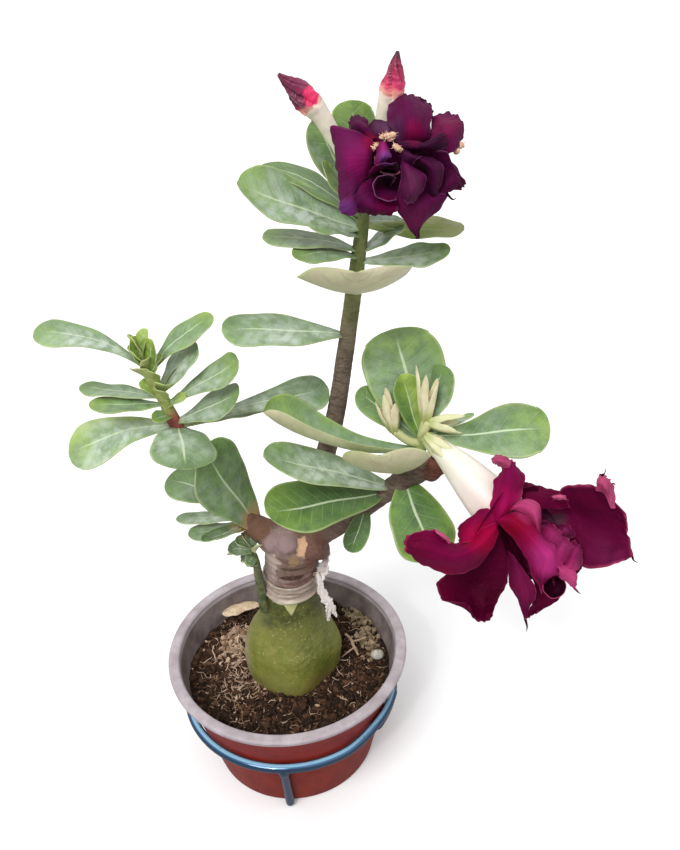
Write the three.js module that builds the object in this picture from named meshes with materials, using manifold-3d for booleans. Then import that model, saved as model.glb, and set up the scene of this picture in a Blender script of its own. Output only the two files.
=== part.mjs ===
// A grafted desert rose (adenium) in flower, in a tapered plastic pot held by a wire stand.
// Millimetres, +Z up. The origin is the centre of the pot's flat base; the flowers face -Y.
import * as THREE from 'three';
import { mergeVertices } from 'three/addons/utils/BufferGeometryUtils.js';
import Module from 'manifold-3d';

const wasm = await Module();
wasm.setup();

// ---------- driving dimensions ----------
const GAP = 0.3; // clearance between pieces that touch on the real plant

const POT_RIM_RADIUS = 60;
const POT_HEIGHT = 66;
const POT_BASE_RADIUS = 41.5; // outside, at the ground
const POT_NECK_RADIUS = 55.5; // outside, just under the lip
const POT_LIP_HEIGHT = 4.2;
const POT_WALL = 1.8;
const POT_FLOOR = 2.4;
const DRAIN_RADIUS = 4;
const DRAIN_CIRCLE = 25;
const DRAIN_COUNT = 5;

const SOIL_TOP = 51; // 15 mm below the rim
const SOIL_ROUGHNESS = 1.3;

const WIRE_RADIUS = 2.2;
const RING_HEIGHT = 39;
const LEG_COUNT = 3;
const FIRST_LEG = -93; // degrees from +X, the leg that faces the viewer
const LAP_START = -38; // the ring's two ends lie on each other between these angles
const LAP_ANGLE = 26;

const CAUDEX_CENTRE = [2.6, 0];
const CAUDEX_LEAN = 2.2; // sideways drift from the widest part to the graft
const CAUDEX_PROFILE = [ // radius, height
  [6, 33], [14, 40], [19.5, 48], [22.4, 56], [23.4, 63], [23, 70], [21.2, 77], [18.6, 83], [15.9, 89],
  [13.9, 95], [12.9, 100], [12.6, 104],
];
const CAUDEX_LOBES = 5;
const CAUDEX_LOBE_DEPTH = 0.9;

const TAPE_BOTTOM = 105.8;
const TAPE_TOP = 121;
const TAPE_THICKNESS = 0.9;
const TAPE_TAIL_WIDTH = 5;

const LEAF_THICKNESS = 1.2;
const PETAL_THICKNESS = 1.0;
const STALK_HALF_WIDTH = 0.9;

// ---------- colours and finishes ----------
const finish = (color, roughness, metalness = 0) => (
  new THREE.MeshStandardMaterial({ color, roughness, metalness }));
const TERRACOTTA_PLASTIC = finish(0x7c2f26, 0.45);
const POTTING_SOIL = finish(0x33241a, 0.95);
const COATED_WIRE = finish(0x122a4a, 0.15, 0.2);
const GREEN_CAUDEX = finish(0x76803c, 0.55);
const GREY_BROWN_BARK = finish(0x7a6555, 0.8);
const GRAFT_TAPE = finish(0xc9bba8, 0.4);
const LEAF_GREEN = finish(0x5d8a4a, 0.45);
const YOUNG_GREEN = finish(0x8fae45, 0.45);
const DRY_LEAF = finish(0xd9c39a, 0.8);
const PALE_STONE = finish(0xcbb8a5, 0.8);
const PURPLE_PETAL = finish(0x5a1236, 0.5);
const CRIMSON_PETAL = finish(0x8a0f3c, 0.5);
const PINK_BUD = finish(0xb83058, 0.5);

// ---------- closed solids ----------
const rad = THREE.MathUtils.degToRad;
const vec = (x, y, z) => new THREE.Vector3(x, y, z);

/** Joins rings of points into one closed body; the first and last ring are closed by a fan. */
function loft(rings) {
  const sides = rings[0].length;
  const points = rings.flat();
  const faces = [];
  for (let i = 0; i + 1 < rings.length; i += 1) {
    for (let j = 0; j < sides; j += 1) {
      const a = i * sides + j;
      const b = i * sides + ((j + 1) % sides);
      faces.push(a, b, b + sides, a, b + sides, a + sides);
    }
  }
  const capped = [[0, rings[0], -1], [(rings.length - 1) * sides, rings.at(-1), 1]];
  for (const [first, ring, side] of capped) {
    const centre = points.length;
    points.push(ring.reduce((sum, p) => sum.add(p), vec(0, 0, 0)).divideScalar(sides));
    for (let j = 0; j < sides; j += 1) {
      const a = first + j;
      const b = first + ((j + 1) % sides);
      faces.push(...(side > 0 ? [centre, a, b] : [centre, b, a]));
    }
  }
  const geometry = new THREE.BufferGeometry().setFromPoints(points);
  geometry.setIndex(faces);
  return geometry;
}

/** A closed three.js geometry as a manifold solid; a body that is inside out is turned. */
function solidOf(geometry) {
  const bare = geometry.clone();
  bare.deleteAttribute('normal');
  bare.deleteAttribute('uv');
  const merged = mergeVertices(bare, 1e-4);
  const build = (index) => new wasm.Manifold(new wasm.Mesh({
    numProp: 3,
    vertProperties: new Float32Array(merged.attributes.position.array),
    triVerts: new Uint32Array(index),
  }));
  const solid = build(merged.index.array);
  if (solid.volume() > 0) return solid;
  return build(Array.from(merged.index.array).reverse());
}

function geometryOf(solid) {
  const mesh = solid.getMesh();
  const geometry = new THREE.BufferGeometry();
  geometry.setAttribute('position', new THREE.BufferAttribute(mesh.vertProperties, 3));
  geometry.setIndex(new THREE.BufferAttribute(mesh.triVerts, 1));
  return geometry;
}

const join = (solids) => solids.reduce((sum, next) => sum.add(next));
const largest = (solid) => solid.decompose()
  .reduce((best, next) => (next.volume() > best.volume() ? next : best));

/** A round stem along a curve; its radius runs through the given values. */
function stem(points, radii, { steps = 12, sides = 10, grow = 0 } = {}) {
  const path = new THREE.CatmullRomCurve3(points.map((p) => vec(...p)), false, 'catmullrom', 0.5);
  const girth = new THREE.CatmullRomCurve3(radii.map((r) => vec(r, 0, 0)), false, 'catmullrom', 0.5);
  const rings = [];
  for (let i = 0; i <= steps; i += 1) {
    const centre = path.getPoint(i / steps);
    const along = path.getTangent(i / steps);
    const across = vec(0, 1, 0.05).cross(along).normalize();
    const third = along.clone().cross(across);
    const radius = Math.max(girth.getPoint(i / steps).x, 0.35) + grow;
    rings.push(Array.from({ length: sides }, (_, j) => {
      const angle = (j / sides) * 2 * Math.PI;
      return centre.clone().addScaledVector(across, radius * Math.cos(angle))
        .addScaledVector(third, radius * Math.sin(angle));
    }));
  }
  return solidOf(loft(rings));
}

/** The direction that looks to a compass heading (degrees from +X) and rises above level. */
const direction = (heading, rise) => vec(
  Math.cos(rad(rise)) * Math.cos(rad(heading)),
  Math.cos(rad(rise)) * Math.sin(rad(heading)),
  Math.sin(rad(rise)),
);

const BLADE_STATIONS = [0, 0.2, 0.45, 0.68, 0.86, 0.96, 0.999];
const PETAL_STATIONS = [0, 0.3, 0.62, 0.88, 0.999];
const PETAL_COLUMNS = [-1, -0.4, 0.4, 1, 0.4, -0.4];
const BLADE_COLUMNS = [-1, -0.5, 0, 0.5, 1, 0.5, 0, -0.5]; // over the upper side, back under the lower

/**
 * A leaf or petal: a thin closed blade from base along the unit vector d, its upper side toward up.
 * neck: how long the base stays narrow. blunt: how square the tip is. bow and curl: how far the
 * midrib rises in the middle and at the tip. fold: degrees that each half is raised. cup: hollow.
 */
function blade(base, d, up, shape, thickness, stations = BLADE_STATIONS, columns = BLADE_COLUMNS) {
  const { length, width, roll = 0, bow = 0, curl = 0, fold = 0, cup = 0 } = shape;
  const { neck = 1, blunt = 2.5, point = 0.5 } = shape;
  const level = up.clone().addScaledVector(d, -up.dot(d)).normalize();
  const beside = d.clone().cross(level);
  const normal = level.clone().multiplyScalar(Math.cos(rad(roll)))
    .addScaledVector(beside, Math.sin(rad(roll)));
  const side = d.clone().cross(normal);
  const widest = (neck / (neck + point * blunt)) ** (1 / blunt);
  const peak = widest ** neck * (1 - widest ** blunt) ** point;
  const rings = stations.map((s) => {
    const outline = (s ** neck * (1 - s ** blunt) ** point) / peak;
    const half = STALK_HALF_WIDTH * Math.sqrt(1 - s ** 4) + (width / 2 - 0.6 * STALK_HALF_WIDTH) * outline;
    const middle = base.clone().addScaledVector(d, length * s)
      .addScaledVector(level, bow * 4 * s * (1 - s) + curl * s ** 3);
    return columns.map((t, column) => {
      const raised = half * (Math.sin(rad(fold)) * (Math.sqrt(t * t + 0.03) - 0.173) + cup * t * t);
      const skin = (column < columns.length / 2 ? 0.5 : -0.5) * thickness * Math.sqrt(1 - t * t);
      return middle.clone().addScaledVector(side, half * t * Math.cos(rad(fold * Math.sqrt(Math.abs(t)))))
        .addScaledVector(normal, raised + skin);
    });
  });
  return solidOf(loft(rings));
}

// ---------- pot: one moulding, flat base, tapered wall, turned-out lip ----------
const wallRadius = (z) => POT_BASE_RADIUS
  + ((POT_NECK_RADIUS - POT_BASE_RADIUS) * z) / (POT_HEIGHT - POT_LIP_HEIGHT);

function pot() {
  const lipFoot = POT_HEIGHT - POT_LIP_HEIGHT;
  const inner = (z) => wallRadius(z) - POT_WALL;
  const profile = [
    [0, 0], [POT_BASE_RADIUS - 1.5, 0], [POT_BASE_RADIUS, 1.5],
    [wallRadius(lipFoot - 1), lipFoot - 1], [POT_NECK_RADIUS + 1, lipFoot],
    [POT_RIM_RADIUS - 1, lipFoot + 0.4], [POT_RIM_RADIUS, lipFoot + 1.4],
    [POT_RIM_RADIUS, POT_HEIGHT - 1.2], [POT_RIM_RADIUS - 1.2, POT_HEIGHT],
    [inner(POT_HEIGHT) + 1.2, POT_HEIGHT], [inner(POT_HEIGHT), POT_HEIGHT - 1.2],
    [inner(POT_FLOOR + 2), POT_FLOOR + 2], [inner(POT_FLOOR) - 2, POT_FLOOR], [0, POT_FLOOR],
  ].map(([r, z]) => new THREE.Vector2(r, z));
  let body = solidOf(new THREE.LatheGeometry(profile, 40).rotateX(Math.PI / 2));
  for (let i = 0; i < DRAIN_COUNT; i += 1) {
    const angle = (i / DRAIN_COUNT) * 2 * Math.PI + rad(36);
    const drill = new THREE.CylinderGeometry(DRAIN_RADIUS, DRAIN_RADIUS, 10, 12).rotateX(Math.PI / 2)
      .translate(DRAIN_CIRCLE * Math.cos(angle), DRAIN_CIRCLE * Math.sin(angle), 0);
    body = body.subtract(solidOf(drill));
  }
  return body;
}

// ---------- caudex: the swollen green rootstock, with a cleft for the graft ----------
const CLEFT_HALF_WIDTH = 4.4;
const CLEFT_FLOOR = 97;
const CLEFT_TOP = 105.4;

function caudex(grow = 0) {
  const rings = CAUDEX_PROFILE.map(([radius, z]) => {
    const lean = CAUDEX_LEAN * THREE.MathUtils.smoothstep(z, 62, 102);
    return Array.from({ length: 24 }, (_, j) => {
      const angle = (j / 24) * 2 * Math.PI;
      const low = THREE.MathUtils.clamp((88 - z) / 20, 0, 1);
      const r = radius + grow + CAUDEX_LOBE_DEPTH * low * Math.cos(CAUDEX_LOBES * angle + 0.6);
      return vec(CAUDEX_CENTRE[0] + lean + r * Math.cos(angle), CAUDEX_CENTRE[1] + r * Math.sin(angle), z);
    });
  });
  return solidOf(loft(rings));
}

/** The wedge that a cleft graft is cut to, open to the front and the back. */
function wedge(halfWidth, floor, depth) {
  const outline = new THREE.Shape([
    new THREE.Vector2(0, floor), new THREE.Vector2(halfWidth, CLEFT_TOP),
    new THREE.Vector2(-halfWidth, CLEFT_TOP),
  ]);
  const prism = new THREE.ExtrudeGeometry(outline, { depth, bevelEnabled: false });
  return solidOf(prism.rotateX(Math.PI / 2).translate(CAUDEX_CENTRE[0] + CAUDEX_LEAN, depth / 2, 0));
}

// ---------- scion: trunk, two branches, centre stem and the stalks of flowers, grown as one ----------
const STEMS = {
  trunk: {
    points: [[4.9, 0, 104.6], [4.9, 0, 110], [5.8, 0, 116], [6.8, 0, 125], [8.8, 0, 135], [11, 0, 146]],
    radii: [12.8, 12.8, 13.1, 13.3, 14.2, 8], sides: 16, steps: 12,
  },
  centre: {
    points: [[12, 1, 138], [21, 3, 165], [30, 4, 195], [35.5, 4, 224], [40, 3, 252], [44, 2, 277],
      [46, 2, 290]],
    radii: [8, 5, 4, 3.6, 3.3, 2.7, 2.2], steps: 14,
  },
  left: {
    points: [[3, -1, 136], [-6, -3, 143], [-16, -5, 157], [-27, -5, 182], [-36, -5, 202], [-40, -5, 216],
      [-44, -5, 227], [-46, -5, 238]],
    radii: [8, 6, 4.2, 3.4, 3, 2.4, 2, 1.2], steps: 16,
  },
  right: {
    points: [[16, -2, 139], [28, -5, 146], [40, -10, 158], [52, -13, 169], [62, -14, 178], [72, -14, 182]],
    radii: [8, 6, 5, 4.4, 4.2, 3.6], steps: 12,
  },
  shoot: { points: [[64, -14, 179], [65.5, -13, 188], [66, -12, 196]], radii: [3.2, 2.6, 2], steps: 4 },
  flowerStalk: {
    points: [[45.5, 1, 285], [47.5, -1, 292], [49.5, -3, 297]], radii: [1.6, 1.4, 1.4], steps: 4,
  },
  leftBudStalk: { points: [[45, 2, 285], [43.5, 3, 291], [42, 4, 296]], radii: [1.6, 1.4, 1.4], steps: 4 },
  topBudStalk: { points: [[46, 3, 285], [48, 6, 292], [49, 8, 297]], radii: [1.6, 1.4, 1.4], steps: 4 },
  sideFlowerStalk: {
    points: [[65, -13, 186], [67, -13, 191], [68.5, -14, 194.5]], radii: [1.8, 1.6, 1.6], steps: 4,
  },
  oldCalyxLeft: {
    points: [[66, -13, 192], [56.5, -13, 202], [51.5, -13, 216]], radii: [2, 2.8, 3.4], steps: 5,
  },
  oldCalyxMiddle: {
    points: [[66, -13, 193], [67, -14, 209], [69.5, -12, 225]], radii: [2, 2.8, 3.6], steps: 5,
  },
  oldCalyxRight: {
    points: [[66, -13, 191], [73.5, -16, 203], [83, -16, 206]], radii: [1.8, 2.2, 0.6], steps: 5,
  },
};

function scion(grow = 0) {
  const limbs = Object.values(STEMS).map(({ points, radii, sides = 8, steps }) => (
    stem(points, radii, { sides, steps, grow })));
  const flush = stem([[4.8, 0, 95], [4.8, 0, 105.2]], [14.4, 12.7], { steps: 1, sides: 24, grow });
  const foot = wedge(CLEFT_HALF_WIDTH + grow, CLEFT_FLOOR - grow, 60).intersect(flush);
  return join([...limbs, foot]);
}

const onStem = (name, at) => new THREE.CatmullRomCurve3(
  STEMS[name].points.map((p) => vec(...p)), false, 'catmullrom', 0.5,
).getPoint(at);

// ---------- leaves: where on its stem each one grows, where it points, and its size ----------
const LEAVES = {
  top_leaf_1: { stem: 'centre', at: 0.99, heading: 108, rise: 71, length: 39, width: 18, neck: 1.3,
    blunt: 5, roll: 5 },
  top_leaf_2: { stem: 'centre', at: 0.97, heading: 180, rise: 64, length: 39, width: 15, blunt: 3,
    roll: -55 },
  top_leaf_3: { stem: 'centre', at: 0.88, heading: 197, rise: 27, length: 52, width: 22, neck: 0.8,
    fold: 20, bow: -1, roll: -40 },
  top_leaf_4: { stem: 'centre', at: 0.9, heading: 168, rise: 30, length: 44, width: 18, bow: 4, roll: -5 },
  top_leaf_5: { stem: 'centre', at: 0.8, heading: 190, rise: 14, length: 38, width: 17, neck: 0.8,
    blunt: 4, bow: 2, roll: -5 },
  top_leaf_6: { stem: 'centre', at: 0.78, heading: 217, rise: 15, length: 31, width: 14, neck: 0.8,
    blunt: 4, bow: 2, roll: -10 },
  top_leaf_7: { stem: 'centre', at: 0.84, heading: 215, rise: 25, length: 27, width: 14, bow: 2,
    roll: -20 },
  top_leaf_8: { stem: 'centre', at: 0.72, heading: 269, rise: 18, length: 41, width: 40, neck: 0.8,
    blunt: 4, bow: -4, curl: 6, cup: 0.3 },
  top_leaf_9: { stem: 'centre', at: 0.77, heading: -7, rise: 7, length: 36, width: 16, bow: -1, roll: 10 },
  top_leaf_10: { stem: 'centre', at: 0.89, heading: 6, rise: -7, length: 40, width: 15, roll: -50 },
  top_leaf_11: { stem: 'centre', at: 0.79, heading: 6, rise: 32, length: 21, width: 15 },
  top_leaf_12: { stem: 'centre', at: 0.92, heading: 30, rise: -13, length: 20, width: 14, roll: 10 },
  top_leaf_13: { stem: 'centre', at: 0.94, heading: 202, rise: 56, length: 28, width: 9, neck: 0.8,
    blunt: 3, roll: -35 },
  middle_leaf: { stem: 'centre', at: 0.57, heading: 193, rise: 12, length: 52, width: 22, bow: 1,
    roll: -15 },
  left_leaf_1: { stem: 'left', at: 0.9, heading: 187, rise: 27, length: 45, width: 16, neck: 1.4,
    blunt: 5, bow: 5, roll: -15 },
  left_leaf_2: { stem: 'left', at: 0.87, heading: 10, rise: 36, length: 36, width: 14, bow: 2, roll: 15 },
  left_leaf_3: { stem: 'left', at: 0.74, heading: 10, rise: 49, length: 27, width: 13, roll: 15 },
  left_leaf_4: { stem: 'left', at: 0.76, heading: 42, rise: 45, length: 24, width: 10, roll: -15 },
  left_leaf_5: { stem: 'left', at: 0.68, heading: -5, rise: 31, length: 38, width: 15, neck: 1.5,
    blunt: 5, roll: 30 },
  left_leaf_6: { stem: 'left', at: 0.59, heading: -13, rise: 28, length: 34, width: 18, neck: 1.1,
    blunt: 4, roll: 20 },
  left_leaf_7: { stem: 'left', at: 0.72, heading: 172, rise: 7, length: 35, width: 13, roll: 5 },
  left_leaf_8: { stem: 'left', at: 0.68, heading: 197, rise: 12, length: 31, width: 14 },
  left_leaf_9: { stem: 'left', at: 0.58, heading: 191, rise: -9, length: 46, width: 22, neck: 1.1,
    blunt: 4, bow: 3, roll: -25 },
  left_leaf_10: { stem: 'left', at: 0.57, heading: -76, rise: -20, length: 23, width: 28, neck: 0.8,
    blunt: 3, bow: 4, roll: -15 },
  left_leaf_11: { stem: 'left', at: 0.57, heading: 11, rise: 6, length: 66, width: 20, neck: 2.6,
    blunt: 4, bow: 2, roll: 20 },
  left_leaf_12: { stem: 'left', at: 0.57, heading: 11, rise: 2, length: 38, width: 5, neck: 0.6,
    blunt: 4, roll: -10 },
  left_leaf_13: { stem: 'left', at: 0.91, heading: 195, rise: 75, length: 14, width: 9, neck: 0.7,
    blunt: 3, roll: -25, young: true },
  left_leaf_14: { stem: 'left', at: 0.84, heading: -44, rise: 73, length: 20, width: 12, neck: 0.7,
    blunt: 3, fold: 15, roll: 85, young: true },
  lower_leaf_1: { stem: 'left', at: 0.14, heading: 215, rise: 67, length: 59, width: 28, neck: 0.8,
    blunt: 4, roll: -70 },
  lower_leaf_2: { stem: 'left', at: 0.29, heading: 171, rise: 24, length: 33, width: 20, bow: 3,
    roll: -10 },
  lower_leaf_3: { stem: 'left', at: 0.24, heading: 179, rise: 2, length: 31, width: 10, roll: 5 },
  lower_leaf_4: { stem: 'left', at: 0.2, heading: 196, rise: 3, length: 29, width: 12 },
  lower_leaf_5: { stem: 'left', at: 0.18, heading: 213, rise: 9, length: 27, width: 8, neck: 0.8,
    blunt: 3, fold: 25 },
  right_leaf_1: { stem: 'shoot', at: 0.83, heading: 111, rise: 60, length: 48, width: 34, neck: 0.5,
    blunt: 6, roll: -15 },
  right_leaf_2: { stem: 'shoot', at: 0.96, heading: 48, rise: 59, length: 31, width: 18, roll: -10 },
  right_leaf_3: { stem: 'shoot', at: 0.58, heading: 186, rise: 22, length: 69, width: 26, fold: 50,
    bow: -7, roll: -20 },
  right_leaf_4: { stem: 'right', at: 0.63, heading: 198, rise: 29, length: 63, width: 22, neck: 0.8,
    fold: 10, roll: -15 },
  right_leaf_5: { stem: 'right', at: 0.57, heading: 211, rise: 14, length: 59, width: 26, neck: 0.8,
    blunt: 3, fold: 10, roll: -20 },
  right_leaf_6: { stem: 'shoot', at: 0.83, heading: 162, rise: 37, length: 34, width: 14, roll: -25 },
  right_leaf_7: { stem: 'shoot', at: 0.18, heading: 236, rise: 24, length: 40, width: 36, neck: 0.8,
    blunt: 4, bow: -4, curl: 6, cup: 0.3 },
  right_leaf_8: { stem: 'shoot', at: 0.9, heading: -11, rise: 9, length: 53, width: 25, neck: 1.3,
    blunt: 4, roll: 30 },
  right_leaf_9: { stem: 'right', at: 0.72, heading: -68, rise: -40, length: 37, width: 28, neck: 0.7 },
  right_leaf_10: { stem: 'right', at: 0.45, heading: -114, rise: -28, length: 24, width: 11, roll: 5 },
  right_leaf_11: { stem: 'shoot', at: 0.96, heading: 19, rise: 11, length: 25, width: 7, neck: 0.8,
    blunt: 4, roll: -15 },
  right_leaf_12: { stem: 'shoot', at: 0.83, heading: 151, rise: 74, length: 31, width: 14, fold: 20,
    roll: -35, young: true },
};

// ---------- flowers: a corolla tube and petals set round the way the flower faces ----------
// clock: degrees clockwise from twelve, seen from the front. spread: degrees from the flower's axis.
const FLOWERS = {
  top_flower: {
    centre: [56, -12, 311], faces: [-92, 12], material: PURPLE_PETAL,
    tube: { points: [[48.7, -2.2, 296.2], [51, -5, 302], [56, -11, 311]], radii: [1.9, 2.8, 4] },
    petals: [
      { clock: 265, spread: 85, length: 21, width: 29, neck: 0.3, blunt: 10, bow: 2 },
      { clock: 15, spread: 81, length: 22, width: 16, neck: 0.4, blunt: 8, cup: 0.2 },
      { clock: 60, spread: 85, length: 26, width: 12, neck: 0.7, blunt: 5 },
      { clock: 74, spread: 73, length: 24, width: 8, neck: 0.8, blunt: 5 },
      { clock: 109, spread: 84, length: 27, width: 17, neck: 0.6, blunt: 4, point: 0.7 },
      { clock: 121, spread: 89, length: 27, width: 11, neck: 0.6, blunt: 3, point: 0.8 },
      { clock: 163, spread: 84, length: 29, width: 17, neck: 0.5, blunt: 3, point: 0.8 },
      { clock: 206, spread: 69, length: 21, width: 16, neck: 0.5, blunt: 7, bow: 3 },
      { clock: 319, spread: 81, length: 20, width: 9, neck: 0.8, blunt: 4 },
      { clock: 206, spread: 43, length: 18, width: 11, neck: 0.4, blunt: 6, cup: 0.5 },
      { clock: 164, spread: 63, length: 17, width: 9, neck: 0.5, blunt: 5, bow: 3 },
      { clock: 123, spread: 61, length: 21, width: 15, neck: 0.5, blunt: 5, bow: 3 },
      { clock: 301, spread: 56, length: 9, width: 7, neck: 0.5, blunt: 5 },
    ],
  },
  side_flower: {
    centre: [101, -38, 168], faces: [-84, 8], material: CRIMSON_PETAL,
    tube: {
      points: [[69, -14.4, 195], [74, -17, 191.5], [82, -23, 185], [91, -29.5, 177], [100.5, -37, 169]],
      radii: [1.6, 3.2, 6, 9.5, 10.5],
    },
    petals: [
      { clock: 347, spread: 93, length: 30, width: 14, neck: 0.5, blunt: 3 },
      { clock: 268, spread: 83, length: 46, width: 20, neck: 0.4, blunt: 5, bow: -2 },
      { clock: 280, spread: 76, length: 25, width: 12, neck: 0.5, blunt: 5 },
      { clock: 199, spread: 84, length: 46, width: 32, neck: 0.5, blunt: 4 },
      { clock: 175, spread: 77, length: 48, width: 15, neck: 0.5, blunt: 3, point: 0.8 },
      { clock: 146, spread: 65, length: 39, width: 22, neck: 0.5, blunt: 5 },
      { clock: 96, spread: 87, length: 50, width: 40, neck: 0.4, blunt: 7 },
      { clock: 51, spread: 93, length: 23, width: 18, neck: 0.5, blunt: 5 },
      { clock: 160, spread: 49, length: 25, width: 11, neck: 0.5, blunt: 5, bow: 4 },
      { clock: 116, spread: 56, length: 30, width: 16, neck: 0.5, blunt: 5, bow: 4 },
      { clock: 62, spread: 56, length: 26, width: 13, neck: 0.5, blunt: 5, bow: 4 },
    ],
  },
};

function corolla({ centre, faces, tube, petals }, grow = 0) {
  const throat = vec(...centre);
  const axis = direction(...faces);
  const twelve = vec(0, 0, 1).addScaledVector(axis, -axis.z).normalize();
  const three = twelve.clone().cross(axis);
  const blades = petals.map((petal) => {
    const outward = twelve.clone().multiplyScalar(Math.cos(rad(petal.clock)))
      .addScaledVector(three, Math.sin(rad(petal.clock)));
    const d = axis.clone().multiplyScalar(Math.cos(rad(petal.spread)))
      .addScaledVector(outward, Math.sin(rad(petal.spread)));
    const shape = { ...petal, width: petal.width + 2 * grow, length: petal.length + grow };
    return blade(throat, d, axis, shape, PETAL_THICKNESS + 2 * grow, PETAL_STATIONS, PETAL_COLUMNS);
  });
  return join([stem(tube.points, tube.radii, { steps: 6, sides: 12, grow }), ...blades]);
}

// ---------- buds: a cream tube that ends in a twisted, pointed bud ----------
const BUDS = {
  left_bud: {
    points: [[41.8, 4.2, 296.8], [36.6, 5, 311], [30.4, 3, 325], [26.1, 2, 330], [17.7, 0, 338.7]],
    radii: [1.5, 3.3, 3.9, 4.6, 0.6],
  },
  top_bud: {
    points: [[49.2, 8.3, 298], [53.3, 8, 314.5], [55.3, 7, 324], [58.2, 6, 332], [59.3, 6, 343.1]],
    radii: [1.5, 3.2, 3.8, 4.3, 0.6],
  },
};

// ---------- soil, litter and graft tape ----------
function soil(rootBall) {
  const rings = [[0.02, POT_FLOOR + GAP], [wallRadius(POT_FLOOR) - POT_WALL - 2.6, POT_FLOOR + GAP]]
    .map(([r, z]) => Array.from({ length: 24 }, (_, j) => vec(r * Math.cos((j * Math.PI) / 12),
      r * Math.sin((j * Math.PI) / 12), z)));
  const edge = wallRadius(SOIL_TOP) - POT_WALL - GAP - 0.6;
  const lower = wallRadius(POT_FLOOR + 3) - POT_WALL - GAP - 0.6;
  for (const [share, z] of [
    [lower / edge, POT_FLOOR + 3], [1, SOIL_TOP - 2], [0.97, SOIL_TOP], [0.8, SOIL_TOP],
    [0.6, SOIL_TOP + 1], [0.35, SOIL_TOP + 1.5], [0.0004, SOIL_TOP + 1.5],
  ]) {
    rings.push(Array.from({ length: 24 }, (_, j) => {
      const angle = (j * Math.PI) / 12;
      const waves = Math.sin(5 * angle + 9 * share) * Math.cos(8 * angle - 7 * share);
      const crumb = z < SOIL_TOP ? 0 : SOIL_ROUGHNESS * waves;
      return vec(edge * share * Math.cos(angle), edge * share * Math.sin(angle), z + crumb);
    }));
  }
  return largest(solidOf(loft(rings)).subtract(rootBall));
}

function tapeWrap(trunkGrown) {
  const { points, radii, sides, steps } = STEMS.trunk;
  const sleeve = stem(points, radii, { sides, steps, grow: GAP + TAPE_THICKNESS });
  const middle = (TAPE_TOP + TAPE_BOTTOM) / 2;
  const slab = new THREE.BoxGeometry(50, 50, TAPE_TOP - TAPE_BOTTOM).translate(6, 0, middle);
  return sleeve.intersect(solidOf(slab)).subtract(trunkGrown);
}

/** The free end of the tape: a flat strip that hangs from the wrap over the caudex. */
function tapeTail() {
  const path = new THREE.CatmullRomCurve3(
    [[23.4, -3, 129], [23.2, -7, 118], [24.2, -8, 105], [26.5, -9, 92], [27.8, -9, 84]]
      .map((p) => vec(...p)),
    false, 'catmullrom', 0.5,
  );
  const rings = Array.from({ length: 9 }, (_, i) => {
    const centre = path.getPoint(i / 8);
    const turn = rad(-62 + 5 * i);
    const across = vec(Math.cos(turn), Math.sin(turn), 0);
    const through = vec(-Math.sin(turn), Math.cos(turn), 0);
    return [[-1, -1], [1, -1], [1, 1], [-1, 1]].map(([a, b]) => centre.clone()
      .addScaledVector(across, (a * TAPE_TAIL_WIDTH) / 2).addScaledVector(through, b * 0.35));
  });
  return solidOf(loft(rings));
}

function holder() {
  const taper = (POT_NECK_RADIUS - POT_BASE_RADIUS) / (POT_HEIGHT - POT_LIP_HEIGHT);
  const wallSlope = Math.cos(Math.atan(taper));
  const wireCentre = (z) => wallRadius(z) + (WIRE_RADIUS + GAP) / wallSlope;
  const ringPath = [];
  const turns = 360 + LAP_ANGLE;
  const steps = 48;
  for (let i = 0; i <= steps; i += 1) {
    const swept = (i / steps) * turns;
    const angle = rad(LAP_START + swept);
    const over = THREE.MathUtils.smoothstep(swept, 340, 362) * 2 * WIRE_RADIUS * 0.9;
    const z = RING_HEIGHT + over;
    ringPath.push(vec(wireCentre(z) * Math.cos(angle), wireCentre(z) * Math.sin(angle), z));
  }
  const sweep = (points, count) => {
    const path = new THREE.CatmullRomCurve3(points, false, 'catmullrom', 0.5);
    return solidOf(new THREE.ExtrudeGeometry(
      new THREE.Shape(new THREE.Path().absarc(0, 0, WIRE_RADIUS, 0, 2 * Math.PI, false).getPoints(4)),
      { steps: count, extrudePath: path, bevelEnabled: false },
    ));
  };
  const legs = Array.from({ length: LEG_COUNT }, (_, i) => {
    const angle = rad(FIRST_LEG + (i * 360) / LEG_COUNT);
    const at = (z) => vec(wireCentre(z) * Math.cos(angle), wireCentre(z) * Math.sin(angle), z);
    return sweep([at(0), at(13), at(26), at(RING_HEIGHT)], 3);
  });
  const aboveGround = solidOf(new THREE.BoxGeometry(200, 200, 100).translate(0, 0, 50));
  return join([sweep(ringPath, steps), ...legs]).intersect(aboveGround);
}

// ---------- assembly ----------
const group = new THREE.Group();
const placed = [];

/** Adds a named piece; where it would cut into an earlier one it is trimmed back by the gap. */
function place(name, solid, material, { grown = solid, obstacles = placed } = {}) {
  let body = solid;
  for (const other of obstacles) {
    if (body.intersect(other.grown).volume() > 1e-4) body = body.subtract(other.grown);
  }
  body = largest(body);
  const geometry = geometryOf(body);
  geometry.computeVertexNormals();
  const mesh = new THREE.Mesh(geometry, material);
  mesh.name = name;
  group.add(mesh);
  placed.push({ name, grown });
}

place('pot', pot(), TERRACOTTA_PLASTIC);
place('wire_holder', holder(), COATED_WIRE, { obstacles: [] });

const scionGrown = scion(GAP);
place('scion', scion(), GREY_BROWN_BARK, { grown: scionGrown, obstacles: [] });
place('caudex', caudex().subtract(scionGrown), GREEN_CAUDEX, { grown: caudex(GAP), obstacles: [] });
place('soil', soil(caudex(GAP)), POTTING_SOIL, { obstacles: [] });
place('graft_tape_wrap', tapeWrap(scionGrown), GRAFT_TAPE, { obstacles: [] });
place('graft_tape_tail', tapeTail(), GRAFT_TAPE);

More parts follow.
